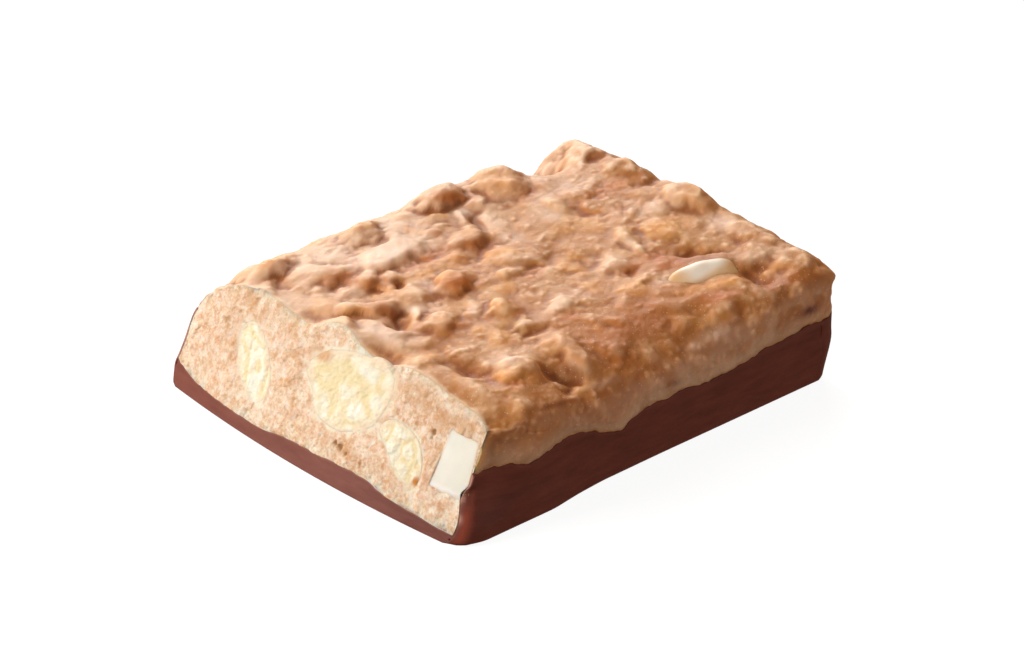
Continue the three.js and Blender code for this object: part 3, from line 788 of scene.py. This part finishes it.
GOLDEN_SPOTS = [
    (-13, 15.3, 2, 0.8, 0.5), (-4.2, 15.5, 2, 0.7, 0.5), (-11.3, 10.2, 1.5, 0.5, 0.4),
    (-13.6, 3.6, 1.7, 1.4, 0.7), (-3.6, 3.5, 1.6, 1.8, 0.7), (11, 14, 2.3, 2.8, 0.5),
    (2.9, 8.4, 1.6, 1, 0.4), (0.2, 1, 1, 0.5, 0.5), (16, -1.6, 2.3, 1.8, 0.8), (18.8, 6.8, 1.6, 0.8, 0.5),
    (-3.3, -3, 1.2, 1.4, 0.6), (-8.7, -1.8, 0.9, 0.6, 0.5), (-13.4, -6, 1.3, 0.6, 0.6),
    (-9.5, -13.8, 1.3, 1, 0.6), (-4.2, -14.3, 0.6, 2.5, 0.5), (-3.9, -12.3, 1, 0.8, 0.4),
    (13.6, -12.3, 2.6, 0.7, 0.9, -12), (10.4, -11.6, 1.5, 0.9, 0.8), (18.5, -13.3, 1.5, 0.7, 0.6),
    (9, -7.9, 2, 0.7, 0.3), (21.5, 1, 1.2, 1, 0.4), (12, 7.6, 0.8, 1.2, 0.3),
]
PALE_SPOTS = [
    (-5.5, 10, 4, 2, 0.8), (-14, -0.5, 1.8, 3, 0.7), (-9.5, 1, 2.5, 1, 0.7, -35),
    (-5.8, 3.2, 0.7, 2, 0.7), (4.5, 11.8, 1.2, 1.3, 0.8), (9.5, 11, 1.8, 0.8, 0.4),
    (5.5, 9.5, 1.2, 2.5, 0.5, -20), (10.3, 6.5, 1.6, 1.6, 0.6), (4.8, 5.5, 1.2, 1, 0.5),
    (2.8, 2.6, 1.5, 1, 0.4), (12, -2, 0.8, 1.5, 0.6), (-5.5, -2, 0.6, 2, 0.5, -30),
    (15, 13.5, 4, 1, 0.5, 15), (18, 2, 3, 2, 0.4), (20.8, -4, 1.3, 2.5, 0.5), (19.5, -11, 2, 1.2, 0.4),
    (-9, -10.8, 1.6, 1.3, 0.6), (0.5, -6, 2.5, 0.9, 0.4, 15), (8.5, -3.3, 1.3, 1.6, 0.4),
    (14, 9.5, 3, 1.5, 0.4), (-8.5, 12.8, 2.5, 1, 0.5), (-1, 14, 2, 1, 0.4), (-12.2, 13.6, 3, 1, 0.5),
    (7.6, -18.7, 2.2, 1.2, 0.8), (4.9, -18.9, 1.2, 0.7, 0.6), (-5.2, -18.6, 1.4, 0.7, 0.5),
    (10.2, -8.6, 1.2, 1, 0.5),
]
SMUDGES = [
    (16.3, -20.7, 1.2, 0.6, 0.95, 20), (-0.8, -22.4, 0.8, 0.5, 0.5),
]
SLANT = (1.107, 1.332)


def spots(places):
    """Spots that lean with the light: each is placed by where a slanting line through the corner
    meets the level of 10 mm."""
    x, y = (coat[:, axis] + (coat[:, 2] - 10) * SLANT[axis] for axis in (0, 1))
    return strongest(x, y, places) * shown


normals = corner_normals(coat, quads)


def depth_below(passes, full):
    """How far a corner lies below the mean of its surroundings, as a share of full; above is negative."""
    around = np.stack([spread(quads, coat[:, axis], passes) for axis in range(3)], axis=1)
    return ((around - coat) * normals).sum(axis=1) / full


wide_depth, near_depth = depth_below(40, 0.16), depth_below(9, 0.05)
smooth_normals = np.stack([spread(quads, normals[:, axis], 12) for axis in range(3)], axis=1)
# Painted shade: orange on the sides turned away from the key light, found from the smoothed normals.
turned_from_light = smooth((smooth_normals @ (0.50, -0.72, 0.1) - 0.15) / 0.5) * shown
dark_shade, golden, pale = spots(DARK_SHADE_SPOTS), spots(GOLDEN_SPOTS), spots(PALE_SPOTS)
painted_lee_shade = np.maximum(np.minimum(1.25 * spots(ORANGE_SHADE_SPOTS), 1), 0.6 * turned_from_light * (1 - 0.5 * pale))
# Painted shade: orange brown where a corner lies below its surroundings, and at the dark shade spots.
painted_hollow_shade = np.maximum(smooth(0.55 * wide_depth + 0.35 * near_depth) * shown * (1 - 0.7 * pale), dark_shade)
# Painted highlight: paler colour on the crests, where a corner stands above its surroundings.
painted_crest_highlight = smooth(-0.45 * wide_depth - 0.35 * near_depth) * shown * (1 - dark_shade)
grains_gold = spread(quads, np.clip(0.6 * large_gold * calm + 0.3 * middle_gold, 0, 0.8), 2)
golden = np.maximum(golden, grains_gold * shown * (1 - pale))
x, y, z = coat.T
above = z - rim_height(x, y)
low_band = smooth((2.2 - above) / 2.2) * smooth((20 - x) / 5) * shown
# Painted sheen: a paler colour that grows towards the back of the top, less where shade is painted.
painted_back_sheen = 0.6 * smooth((y - 0.3 * x - 1) / 15) * shown * (1 - 0.8 * painted_lee_shade) * (1 - 0.8 * dark_shade)
# Sugar specks and painted glints grow thicker towards the near side.
specks_and_glints = 0.25 + 0.75 * smooth((-6 - y) / 7)
# The golden lip where the nut shows through at the cut's near corner, made paler as painted light on a wall
# in shade.
golden_lip_and_painted_light = 0.9 * bell(x, cut_x(y, z), 0.7) * smooth((-15 - y) / 1.5) * smooth((8.6 - z) / 1.5) * shown
floury = smooth(0.75 + 0.6 * lattice_noise(coat, 1.4, 74)) * (1 - 0.6 * painted_lee_shade)
# Pale dust, and painted light: a paler colour low on the near side, which lies in shade.
dust_and_painted_fill = smooth((4.8 - above) / 2.6) * (0.45 + 0.55 * smooth((x + 8) / 9)) * steep * shown * floury
make_piece("caramel_coat", coat, quads.tolist() + [underside], coat_skin, "crisp_mass",
           {
               "painted_hollow_shade": painted_hollow_shade, "golden": golden, "painted_crest_highlight": painted_crest_highlight, "low_band": low_band,
               "painted_lee_shade": painted_lee_shade, "dust_and_painted_fill": dust_and_painted_fill, "painted_back_sheen": painted_back_sheen, "specks_and_glints": specks_and_glints,
               "pale": pale, "golden_lip_and_painted_light": golden_lip_and_painted_light, "smudge": spots(SMUDGES)})

# %% [markdown]
# The cut. The knife crushed the crisps, so the face is a plate of crumbs with low, sharp relief. It
# is one grid across and up the face, closed behind by a roof that meets in a line inside the mass.

# %% Layer line and cut outline
LAYER_TOP = [
    (-17.4, 0.85), (-14.5, 0.9), (-12, 1.15), (-9.6, 1.25), (-7.4, 1.7), (-3.2, 1.7), (0, 1.6),
    (2.7, 1.45), (6.2, 1.15), (9.5, 1.05), (13.2, 1.2), (16, 1.45), (18.3, 2), (18.9, 2.6),
]


def layer_top(y):
    """Height of the brown layer's upper side at the cut."""
    return through(y, LAYER_TOP, 0.8) + waves(place_of(y, 0, 0), (0.07, 1.7, 11), (0.03, 0.6, 12))


edge_top = coat[front & (lattice[:, 2] == COAT_STEPS[2])]
edge_top = edge_top[np.argsort(edge_top[:, 1])]
print("cut from y", round(edge_top[0, 1], 2), "to", round(edge_top[-1, 1], 2), "mm")

# %% [markdown]
# Inclusions at the cut: two thin puffs and a round one, and the nut at the corner. Each has a middle
# on the face, half sizes across and up, and a roll. The crumb plate sinks under them.

# %% Inclusions at the cut
PUFFS = {
    "cereal_puff_left": dict(y=9.35, z=5.1, half=(1.95, 3.8), roll=-44, bend=0.0,
                             bulges=[(180, 60, -0.15)]),
    "cereal_puff_middle": dict(y=-1.2, z=6.45, half=(4.7, 3.3), roll=0, bend=0.0,
                               bulges=[(137, 32, 0.26), (-38, 35, -0.17), (12, 20, 0.07), (80, 16, -0.02)]),
    "cereal_puff_right": dict(y=-9.5, z=4.75, half=(1.5, 3.4), roll=-57, bend=0.8, bulges=[]),
}
NUT = dict(y=-14.8, z=5.45, half=(1.75, 2.2))


def nut_edge(y, z):
    """0 in the middle of the corner nut's face and 1 at its outline, which leans and narrows upwards."""
    up = z - NUT["z"]
    across = np.abs(y - NUT["y"] - 0.1 * up) / (NUT["half"][0] * (1 - 0.06 * up))
    return np.maximum(across, np.abs(up) / NUT["half"][1])


def outline(angle, spot, seed):
    """A puff's radius at an angle, in half sizes: one, with a soft bump or dent at each of its bulges."""
    out = 1 + 0.05 * lattice_noise(place_of(2 * np.cos(angle), 2 * np.sin(angle), 0.5), 0.8, seed)
    for at, reach, amount in spot["bulges"]:
        gap = (np.degrees(angle) - at + 180) % 360 - 180
        out = out + amount * np.exp(-((gap / reach) ** 2))
    return out


def face_place(r, angle, spot, seed):
    """Y and Z on the cut of a place inside a puff's outline, at radius r from 0 to 1."""
    out = r * outline(angle, spot, seed)
    v = out * np.sin(angle) * spot["half"][1]
    u = out * np.cos(angle) * spot["half"][0] + spot["bend"] * (v / spot["half"][1]) ** 2
    c, s = math.cos(math.radians(spot["roll"])), math.sin(math.radians(spot["roll"]))
    return spot["y"] + u * c - v * s, spot["z"] + (v * c + u * s) * math.cos(math.atan(CUT["lean"]))


def face_distance(y, z, spot, seed):
    """Radius from 0 in a puff's middle to 1 at its outline, at a place on the cut."""
    c, s = math.cos(math.radians(spot["roll"])), math.sin(math.radians(spot["roll"]))
    up = (z - spot["z"]) / math.cos(math.atan(CUT["lean"]))
    v = (up * c - (y - spot["y"]) * s) / spot["half"][1]
    u = ((y - spot["y"]) * c + up * s - spot["bend"] * v**2) / spot["half"][0]
    return np.hypot(u, v) / outline(np.arctan2(v, u), spot, seed)


print("inclusions at the cut:", *PUFFS, "and a nut")

# %% [markdown]
# The crumb plate: a grid across the cut and up it, from the brown layer to the coat's edge. Flakes of
# two sizes stand a little proud; the pores, toasted streaks and torn pits are where the photo has them.


# %% Crumb plate
def plate_inset(z, y):
    """The plate reaches the outside above the chocolate's rim, and the inside of its wall below."""
    return 0.05 + (WALL_AT_CUT + 0.02) * smooth((rim_height(cut_x(y, z), y) + 0.1 - z) / 0.2)


TOASTED = [
    (-8.5, 8.7, 2.8, 1, 0.6), (-12.6, 8.2, 2.4, 1.2, 0.6), (13.6, 7.4, 1.6, 1.2, 0.4),
    (12.6, 5, 0.8, 1.6, 0.5), (5.2, 6.5, 1.2, 1.8, 0.4), (-3.8, 2.7, 2.6, 0.5, 0.6),
    (-9, 2.4, 2.2, 0.5, 0.3), (3.5, 8.2, 1, 1, 0.5), (-6.6, 7.6, 0.6, 1.6, 0.4),
    (-12.2, 5, 0.8, 1.6, 0.4), (1.5, 3.2, 2, 0.5, 0.3), (11.8, 8.9, 2.2, 0.9, 0.6),
    (6.8, 8.3, 1, 1.8, 0.4), (-14.2, 8.2, 1.5, 0.7, 0.6), (13, 5, 4, 4, 0.25),
]
PORES = [
    (-11.55, 6.7, 0.2), (-3.3, 2.8, 0.22), (-4.1, 2.55, 0.15), (-5.9, 2.45, 0.2), (-2.6, 2.95, 0.15),
]
PLATE = (360, 118)
across, level = np.meshgrid(
    np.linspace(-1, 1, PLATE[0] + 1), np.linspace(0, 1, PLATE[1] + 1), indexing="ij")
y, z = across * HALF_WIDTH, 5 + 0 * across
for _ in range(PASSES):
    x = cut_x(y, z)
    y = across * (outside(x, y, z, across) - plate_inset(z, y))
    low = layer_top(y) - 0.08
    high = np.interp(y, edge_top[:, 1], edge_top[:, 2]) - SKIN
    z = low + level * (high - low)
at = place_of(cut_x(y, z), y, z)
print("plate from z", round(z.min(), 2), "to", round(z.max(), 2), "mm")

# %% [markdown]
# The crumb's relief. It is low, because a knife went through, but sharp: a flake's dome falls off
# with the distance to its middle, and one flake in five stands out. The plate sinks where a puff or
# the nut lies in it, and stays level round each puff's outline.

# %% Crumb relief
PIT_DEPTH = 0.16
SUNK_DEPTH = 0.5
flake, which = grain_cells(at, 0.75, 21)
fleck, _ = grain_cells(at, 0.34, 22)
relief = 0.08 * (1 - np.minimum(flake, 1)) + 0.05 * (1 - np.minimum(fleck, 1))
relief += 0.1 * lattice_noise(at, 1.6, 23) + 0.08 * np.where(which > 0.8, smooth((0.75 - flake) / 0.2), 0)
pit_with_painted_shade = 0.5 * smooth((lattice_noise(at, 0.4, 24) - 0.55) / 0.2) * smooth(0.2 + lattice_noise(at, 2.5, 25))
for at_y, at_z, reach in PORES:
    torn = 0.9 * lattice_noise(at, 0.35, 28)
    pit_with_painted_shade = np.maximum(pit_with_painted_shade, smooth(1.6 + torn - np.hypot(y - at_y, z - at_z) / reach))
relief -= PIT_DEPTH * pit_with_painted_shade
toast = strongest(y, z, TOASTED) * smooth(0.9 + lattice_noise(at, 0.8, 26))
sunk, airy, level_here = np.zeros_like(relief), np.zeros_like(relief), np.ones_like(relief)
for seed, spot in enumerate(PUFFS.values(), start=31):
    away = face_distance(y, z, spot, seed)
    sunk = np.maximum(sunk, smooth((0.97 - away) / 0.06))
    airy = np.maximum(airy, smooth((1.1 - away + 0.12 * lattice_noise(at, 0.6, 27)) / 0.16))
    level_here = np.minimum(level_here, smooth((np.abs(away - 1) - 0.02) / 0.16))
sunk = np.maximum(sunk, smooth((1 - nut_edge(y, z)) / 0.1 - 0.2))
border = np.minimum.reduce([across + 1, 1 - across, 4 * level, 4 * (1 - level)])
relief = relief * smooth(border / 0.03) * level_here - SUNK_DEPTH * sunk
plate = place_of(cut_x(y, z) - relief - 0.02, y, z)
print("crumb relief from", round(relief.min(), 2), "to", round(relief.max(), 2), "mm")

# %% [markdown]
# The plate has to be a closed body, so a roof is folded behind it: its lower and upper edges meet in
# a ridge inside the mass, and a fan closes each end.


# %% Close the plate behind
def sheet_quads(rows, columns):
    """Quads of a grid of rows by columns steps, numbered row by row."""
    number = np.arange((rows + 1) * (columns + 1)).reshape(rows + 1, columns + 1)
    return number, np.stack([number[:-1, :-1], number[:-1, 1:], number[1:, 1:], number[1:, :-1]], axis=-1)


number, quads = sheet_quads(*PLATE)
ridge = 0.5 * (plate[:, 0] + plate[:, -1]) + (0.9, 0, 0)
ridge[0], ridge[-1] = ridge[0] * (1, 0.97, 1), ridge[-1] * (1, 0.97, 1)
spine = number.size + np.arange(PLATE[0] + 1)
faces = quads.reshape(-1, 4)[:, ::-1].tolist()
for line, turned in ((number[:, 0], False), (number[:, -1], True)):
    strip = np.stack([line[:-1], line[1:], spine[1:], spine[:-1]], axis=-1)
    faces += (strip[:, ::-1] if turned else strip).tolist()
for line, tip, turned in ((number[0], spine[0], True), (number[-1], spine[-1], False)):
    fan = np.stack([line[:-1], line[1:], np.full(PLATE[1], tip)], axis=-1)
    faces += (fan[:, ::-1] if turned else fan).tolist()
make_piece("cut_crumb", np.concatenate([plate.reshape(-1, 3), ridge]), faces, crumb_skin, "crisp_mass",
           {name: np.append(values.ravel(), 0 * ridge[:, 0])
            for name, values in (("pit_with_painted_shade", pit_with_painted_shade), ("toast", toast), ("airy", airy))})

# %% [markdown]
# The puffs: each a lens, flat where it was cut and round behind, as rings from the middle of the face
# out to the rim and back to a point inside the mass.


# %% Puffed cereal
def ball_behind(face_rings, back_rings, turns):
    """A polar grid: rings of the cut face out to the rim, then a half ball behind it to a last point."""
    back = np.linspace(0, np.pi / 2, back_rings + 1)[1:-1]
    r = np.concatenate([np.linspace(0, 1, face_rings + 1)[1:], np.cos(back)])
    behind = np.concatenate([np.zeros(face_rings), np.sin(back)])
    angle = np.linspace(0, 2 * np.pi, turns, endpoint=False)
    return np.meshgrid(r, angle, indexing="ij") + [np.repeat(behind[:, None], turns, axis=1)]


def close_rings(rows, columns):
    """Quads between rings of corners, and triangles to a first and a last point put after them."""
    number = np.arange(rows * columns).reshape(rows, columns)
    following = np.roll(number, -1, axis=1)
    quads = np.stack([number[:-1], number[1:], following[1:], following[:-1]], axis=-1).reshape(-1, 4)
    first = np.stack([np.full(columns, rows * columns), number[0], following[0]], axis=-1)
    last = np.stack([np.full(columns, rows * columns + 1), following[-1], number[-1]], axis=-1)
    return quads.tolist() + first.tolist() + last.tolist()


for seed, (name, spot) in enumerate(PUFFS.items(), start=31):
    r, angle, behind = ball_behind(46, 10, 150)
    r = np.append(r.ravel(), (0, 0))
    behind = np.append(behind.ravel(), (0, 1))
    y, z = face_place(r, np.append(angle.ravel(), (0, 0)), spot, seed)
    at = place_of(cut_x(y, z), y, z)
    cells, _ = grain_cells(at, 0.33, seed)
    folds = np.sin(5.5 * r + 3.5 * lattice_noise(at, 1.7, seed) + seed)
    relief = 0.05 * folds + 0.09 * lattice_noise(at, 0.9, seed + 5) + 0.05 * (1 - np.minimum(cells, 1))
    relief += 0.10 * np.clip(lattice_noise(at, 0.4, seed + 9), -1, 0)
    relief = 0.06 * smooth((1.0 - r) / 0.07) + relief * smooth((1.0 - r) / 0.14)
    # Painted shade: olive in the low parts of the folds.
    fold_crease_shade = smooth((-folds - 0.3) / 0.7) * 0.7 * smooth((0.95 - r) / 0.2)
    rim = smooth((r - 0.72 - 0.15 * lattice_noise(at, 0.9, seed + 7)) / 0.28)
    toast = smooth(1.3 - np.hypot(y + 11.8, z - 3.1) / 0.45)
    toast += 0.6 * smooth(1.6 - np.hypot((y - 2.6) / 2, z - 8.1) / 0.5)
    puff = place_of(cut_x(y, z) + np.where(behind > 0, 2.2 * behind, -relief), y, z)
    make_piece(name.replace("cereal", "airy"), puff, close_rings(55, 150), puff_skin, name,
               {"fold_crease_shade": fold_crease_shade, "rim": rim, "toast": toast})

# %% [markdown]
# The nut chip at the corner: a hard little block with crisp edges, cut flush with the bar. A box
# pushed onto a superellipsoid of a high power has such edges, neither sharp nor round.


# %% Nut chip at the corner
def rounded_block(steps, half, square):
    """A box lattice pushed onto a superellipsoid: |x|^n + |y|^n + |z|^n = 1, stretched to half."""
    lattice, quads = box_lattice(*steps)
    p = 2 * lattice / np.array(steps) - 1
    p = np.sin(p * np.pi / 4) / math.sin(math.pi / 4)
    size = (np.abs(p) ** square).sum(axis=1) ** (-1 / square)
    return p * size[:, None] * np.array(half), quads


chip, quads = rounded_block((24, 44, 52), (3.3, NUT["half"][0], NUT["half"][1]), 16)
chip += 0.05 * lattice_noise(chip, 1.3, 41)[:, None]
chip[:, 1] = NUT["y"] + chip[:, 1] * (1 - 0.06 * chip[:, 2]) + 0.1 * chip[:, 2]
chip[:, 2] -= 0.6 * smooth((chip[:, 1] - NUT["y"]) / 1.6) * smooth(-chip[:, 2] / 2)
chip[:, 2] += NUT["z"]
chip[:, 0] += cut_x(NUT["y"], NUT["z"]) + 1.6
across, up = chip[:, 1], chip[:, 2]
across[:] = np.maximum(across, WALL_AT_CUT + 0.06 - outside(cut_x(across, up), across, up, -1))
chip[:, 0] = np.maximum(chip[:, 0], cut_x(across, up) - 0.03)
coated = smooth((chip[:, 0] - cut_x(across, up) - 0.1) / 0.3)
border = smooth((nut_edge(across, up) - 0.84 - 0.05 * lattice_noise(chip, 0.5, 43)) / 0.14)
make_piece("nut_chip_at_corner", chip, quads.tolist(), nut_skin, "nut_at_corner",
           {"coated": coated, "milky": smooth((3.9 - chip[:, 2]) / 0.5), "crumbed": border})

# %% [markdown]
# The nut chip on top is the same block with a low power, so it is rounder, and tapered to one end.
# It lies bare; only its ends and its near flank keep some coat.

# %% Nut chip on top
NUT_TOP = dict(at=(12.6, -10.9, 10.0), half=(3.3, 1.6, 1.2), turn=-16, tip=20)
chip, quads = rounded_block((60, 24, 24), NUT_TOP["half"], 3)
taper = 1 - 0.35 * smooth((NUT_TOP["half"][0] - chip[:, 0]) / 7 - 0.3)
chip[:, 1:] *= taper[:, None]
chip += 0.08 * lattice_noise(chip, 1.2, 42)[:, None]
turned = Matrix.Rotation(math.radians(NUT_TOP["turn"]), 3, "Z")
tipped = Matrix.Rotation(math.radians(NUT_TOP["tip"]), 3, "X")
chip = chip @ np.array(turned @ tipped).T + NUT_TOP["at"]
coated = 0.25 + 0.7 * smooth(np.abs(chip[:, 0] - 12.9) / 1.8 - 0.6)
coated += 0.6 * smooth((-11.2 - chip[:, 1]) / 0.8)
make_piece("nut_chip_on_top", chip, quads.tolist(), nut_skin, "nut_on_top",
           {"coated": np.minimum(coated, 1), "milky": 0 * coated + 0.35, "crumbed": 0 * coated})

# %% [markdown]
# The chocolate base: a tray with a thin wavy wall, open at the cut. It is one closed block whose top
# side is folded down into the hollow: the outermost steps are the rim, the next go down the wall,
# the rest are the floor.

# %% Chocolate base
BASE_STEPS = (200, 170, 30)
RIM_FOLD = 4
WALL_FOLD = 10
LENGTH_AT_RIM = 42
LENGTH_AT_FOOT = 44
lattice, quads = box_lattice(*BASE_STEPS)
from_edge = np.minimum.reduce([lattice[:, 1], BASE_STEPS[1] - lattice[:, 1], BASE_STEPS[0] - lattice[:, 0]])


def fold(step, wall):
    """Where a step of the top side lies: its inset from the wall's outside and its share of height."""
    over_rim = np.clip(step / RIM_FOLD, 0, 1)
    down = np.clip((step - RIM_FOLD) / (WALL_FOLD - RIM_FOLD), 0, 1)
    inset = wall * 0.5 * (1 - np.cos(np.pi * over_rim))
    drop = 0.5 * wall * (1 - np.sin(np.pi * over_rim))
    return inset, drop, 1 - down


print("tray:", RIM_FOLD, "steps over the rim,", WALL_FOLD - RIM_FOLD, "down the wall")

# %% [markdown]
# The tray's place on the bar. As with the coat, x, y and z depend on each other and their formulas
# are repeated. The marks say where the knife cut and smeared it, with a painted highlight along the
# layer's upper edge, and paint a highlight along the edge of the near corner, where the corner broke.

# %% Places of the tray
along = lattice[:, 0] / BASE_STEPS[0]
level = lattice[:, 2] / BASE_STEPS[2]
thick = WALL_AT_CUT + (WALL - WALL_AT_CUT) * smooth(along * LENGTH_AT_RIM / 2.5)
_, drop, share = fold(from_edge, thick)
side = np.sign(lattice[:, 1] - BASE_STEPS[1] / 2)
inner = np.clip((from_edge - WALL_FOLD) / (0.5 * BASE_STEPS[1] - WALL_FOLD), 0, 1)
across_step = np.minimum(lattice[:, 1], BASE_STEPS[1] - lattice[:, 1])
end_step = BASE_STEPS[0] - lattice[:, 0]


def drawn_in(step, steps, reach):
    """Distance inwards from the wall's outside for a step counted from it, reach at the last step."""
    rest = np.clip((step - WALL_FOLD) / (steps - WALL_FOLD), 0, 1)
    return fold(step, thick)[0] + rest * (reach - thick)


x, y, z = -20 + LENGTH_AT_RIM * along, side * (1 - inner) * HALF_WIDTH, 0 * along
for _ in range(PASSES):
    top = layer_top(y) + share * (rim_height(x, y) - layer_top(y)) - drop * (share > 0)
    z = level * top
    foot = roll(z, FOOT_RADIUS, FOOT_RADIUS)
    half = outside(x, y, z, side) - foot
    y = side * (half - drawn_in(across_step, BASE_STEPS[1] / 2, half))
    wall_x = end_x(y, z, foot)
    back_share = drawn_in(end_step, BASE_STEPS[0], LENGTH_AT_FOOT) / LENGTH_AT_FOOT
    x = cut_x(y, z) + (wall_x - cut_x(y, z)) * (1 - back_share)
base = place_of(x, y, z)
normals = corner_normals(base, quads)
wall_noise = 0.05 * lattice_noise(base * (0.4, 1, 1), 1.3, 53) + 0.06 * lattice_noise(base, 4.0, 54)
base += normals * (wall_noise * smooth((base[:, 2] - 0.3) / 0.8))[:, None]
base = np.clip(base, low_corner, high_corner)
x, y, z = base.T
at_cut = lattice[:, 0] == 0
cut_mark = at_cut * (1 - 0.75 * smooth((-4 - y) / 10))
# Partly the knife's smear, partly a painted highlight: a pale band just under the layer's upper edge.
smear_and_edge_highlight = smooth(1 - (layer_top(y) - z) / 0.22) * smooth(0.7 + lattice_noise(base, 0.9, 55))
smear_and_edge_highlight = np.where(at_cut & (level < 1), smear_and_edge_highlight, 0)
# Painted highlight: a red-brown line along the edge where the cut meets the near side.
corner = bell(x, cut_x(y, z), 0.3) * (1 - at_cut) * smooth((-17 - y) / 0.5)
base[at_cut, 0] = cut_x(y[at_cut], z[at_cut])
make_piece("dipped_base", base, quads.tolist(), brown, "chocolate_base",
           {"cut": cut_mark, "smear_and_edge_highlight": smear_and_edge_highlight, "corner": corner})

# %% [markdown]
# The studio's floor: a white sheet, lit so brightly that it burns out. A grey sheet that glows by
# itself does the same and still keeps a faint shadow. Bounced and mirrored rays don't see it, or it
# would light the bar from below.

# %% Floor
FLOOR_HALF = 4.0
floor_mesh = bpy.data.meshes.new("floor")
floor_mesh.from_pydata(
    [(FLOOR_HALF * x, FLOOR_HALF * y, 0) for x, y in ((-1, -1), (1, -1), (1, 1), (-1, 1))],
    [], [(0, 1, 2, 3)])
floor_material, shader, _ = new_material("white_studio_floor")
feed(floor_material, shader, {
    "Base Color": colour("#606060"), "Roughness": 0.9,
    "Emission Color": (1, 1, 1, 1), "Emission Strength": 0.93,
})
floor_mesh.materials.append(floor_material)
floor = bpy.data.objects.new("floor", floor_mesh)
bpy.context.scene.collection.objects.link(floor)
floor.visible_diffuse = False
floor.visible_glossy = False
print("floor:", 2 * FLOOR_HALF, "m wide")

# %% [markdown]
# The lights: a soft key from behind on the left, which lights the cut and grazes the crisps; a wide
# window behind on the right for the top; a low fill, so that the near long side isn't black. The
# world is a dim warm grey.

# %% Lights
world = bpy.data.worlds.new("studio")
bpy.context.scene.world = world
world.use_nodes = True
world.node_tree.nodes["Background"].inputs["Color"].default_value = colour("#ffe2cc")
world.node_tree.nodes["Background"].inputs["Strength"].default_value = 0.25


def soft_light(name, direction, distance, size, power):
    """A square soft box at a distance from the bar, facing it."""
    lamp = bpy.data.lights.new(name, "AREA")
    lamp.energy, lamp.size = power, size
    holder = bpy.data.objects.new(name, lamp)
    away = Vector(direction).normalized()
    holder.location = away * distance
    holder.rotation_euler = away.to_track_quat("Z", "Y").to_euler()
    bpy.context.scene.collection.objects.link(holder)


soft_light("key", (-0.8, 0.4, 0.58), 0.35, 0.14, 1.12)
soft_light("low_fill", (0.45, -1.0, 0.1), 0.8, 0.5, 1.3)
soft_light("window_behind", (0.40, 0.80, 0.42), 0.9, 0.6, 7.0)
print("lights:", [lamp.name for lamp in bpy.data.lights])

# %% [markdown]
# The camera: its direction, distance and lens were fitted to the bar's corners in the photo. The
# view is Standard, so the colours stay those that were matched.

# %% Camera
AZIMUTH, ELEVATION = math.radians(-39.744), math.radians(30)
DISTANCE, FOCAL, SENSOR = 285.689 * MM, 116.0, 36.0
TARGET = Vector((0.811, 0.416, 4.0)) * MM
lens_data = bpy.data.cameras.new("camera")
lens_data.lens, lens_data.sensor_width = FOCAL, SENSOR
camera = bpy.data.objects.new("camera", lens_data)
level_part = math.cos(ELEVATION)
back = Vector((math.sin(AZIMUTH) * level_part, -math.cos(AZIMUTH) * level_part, math.sin(ELEVATION)))
camera.location = TARGET + DISTANCE * back
camera.rotation_euler = back.to_track_quat("Z", "Y").to_euler()
bpy.context.scene.collection.objects.link(camera)
bpy.context.scene.camera = camera
bpy.context.scene.view_settings.view_transform = "Standard"
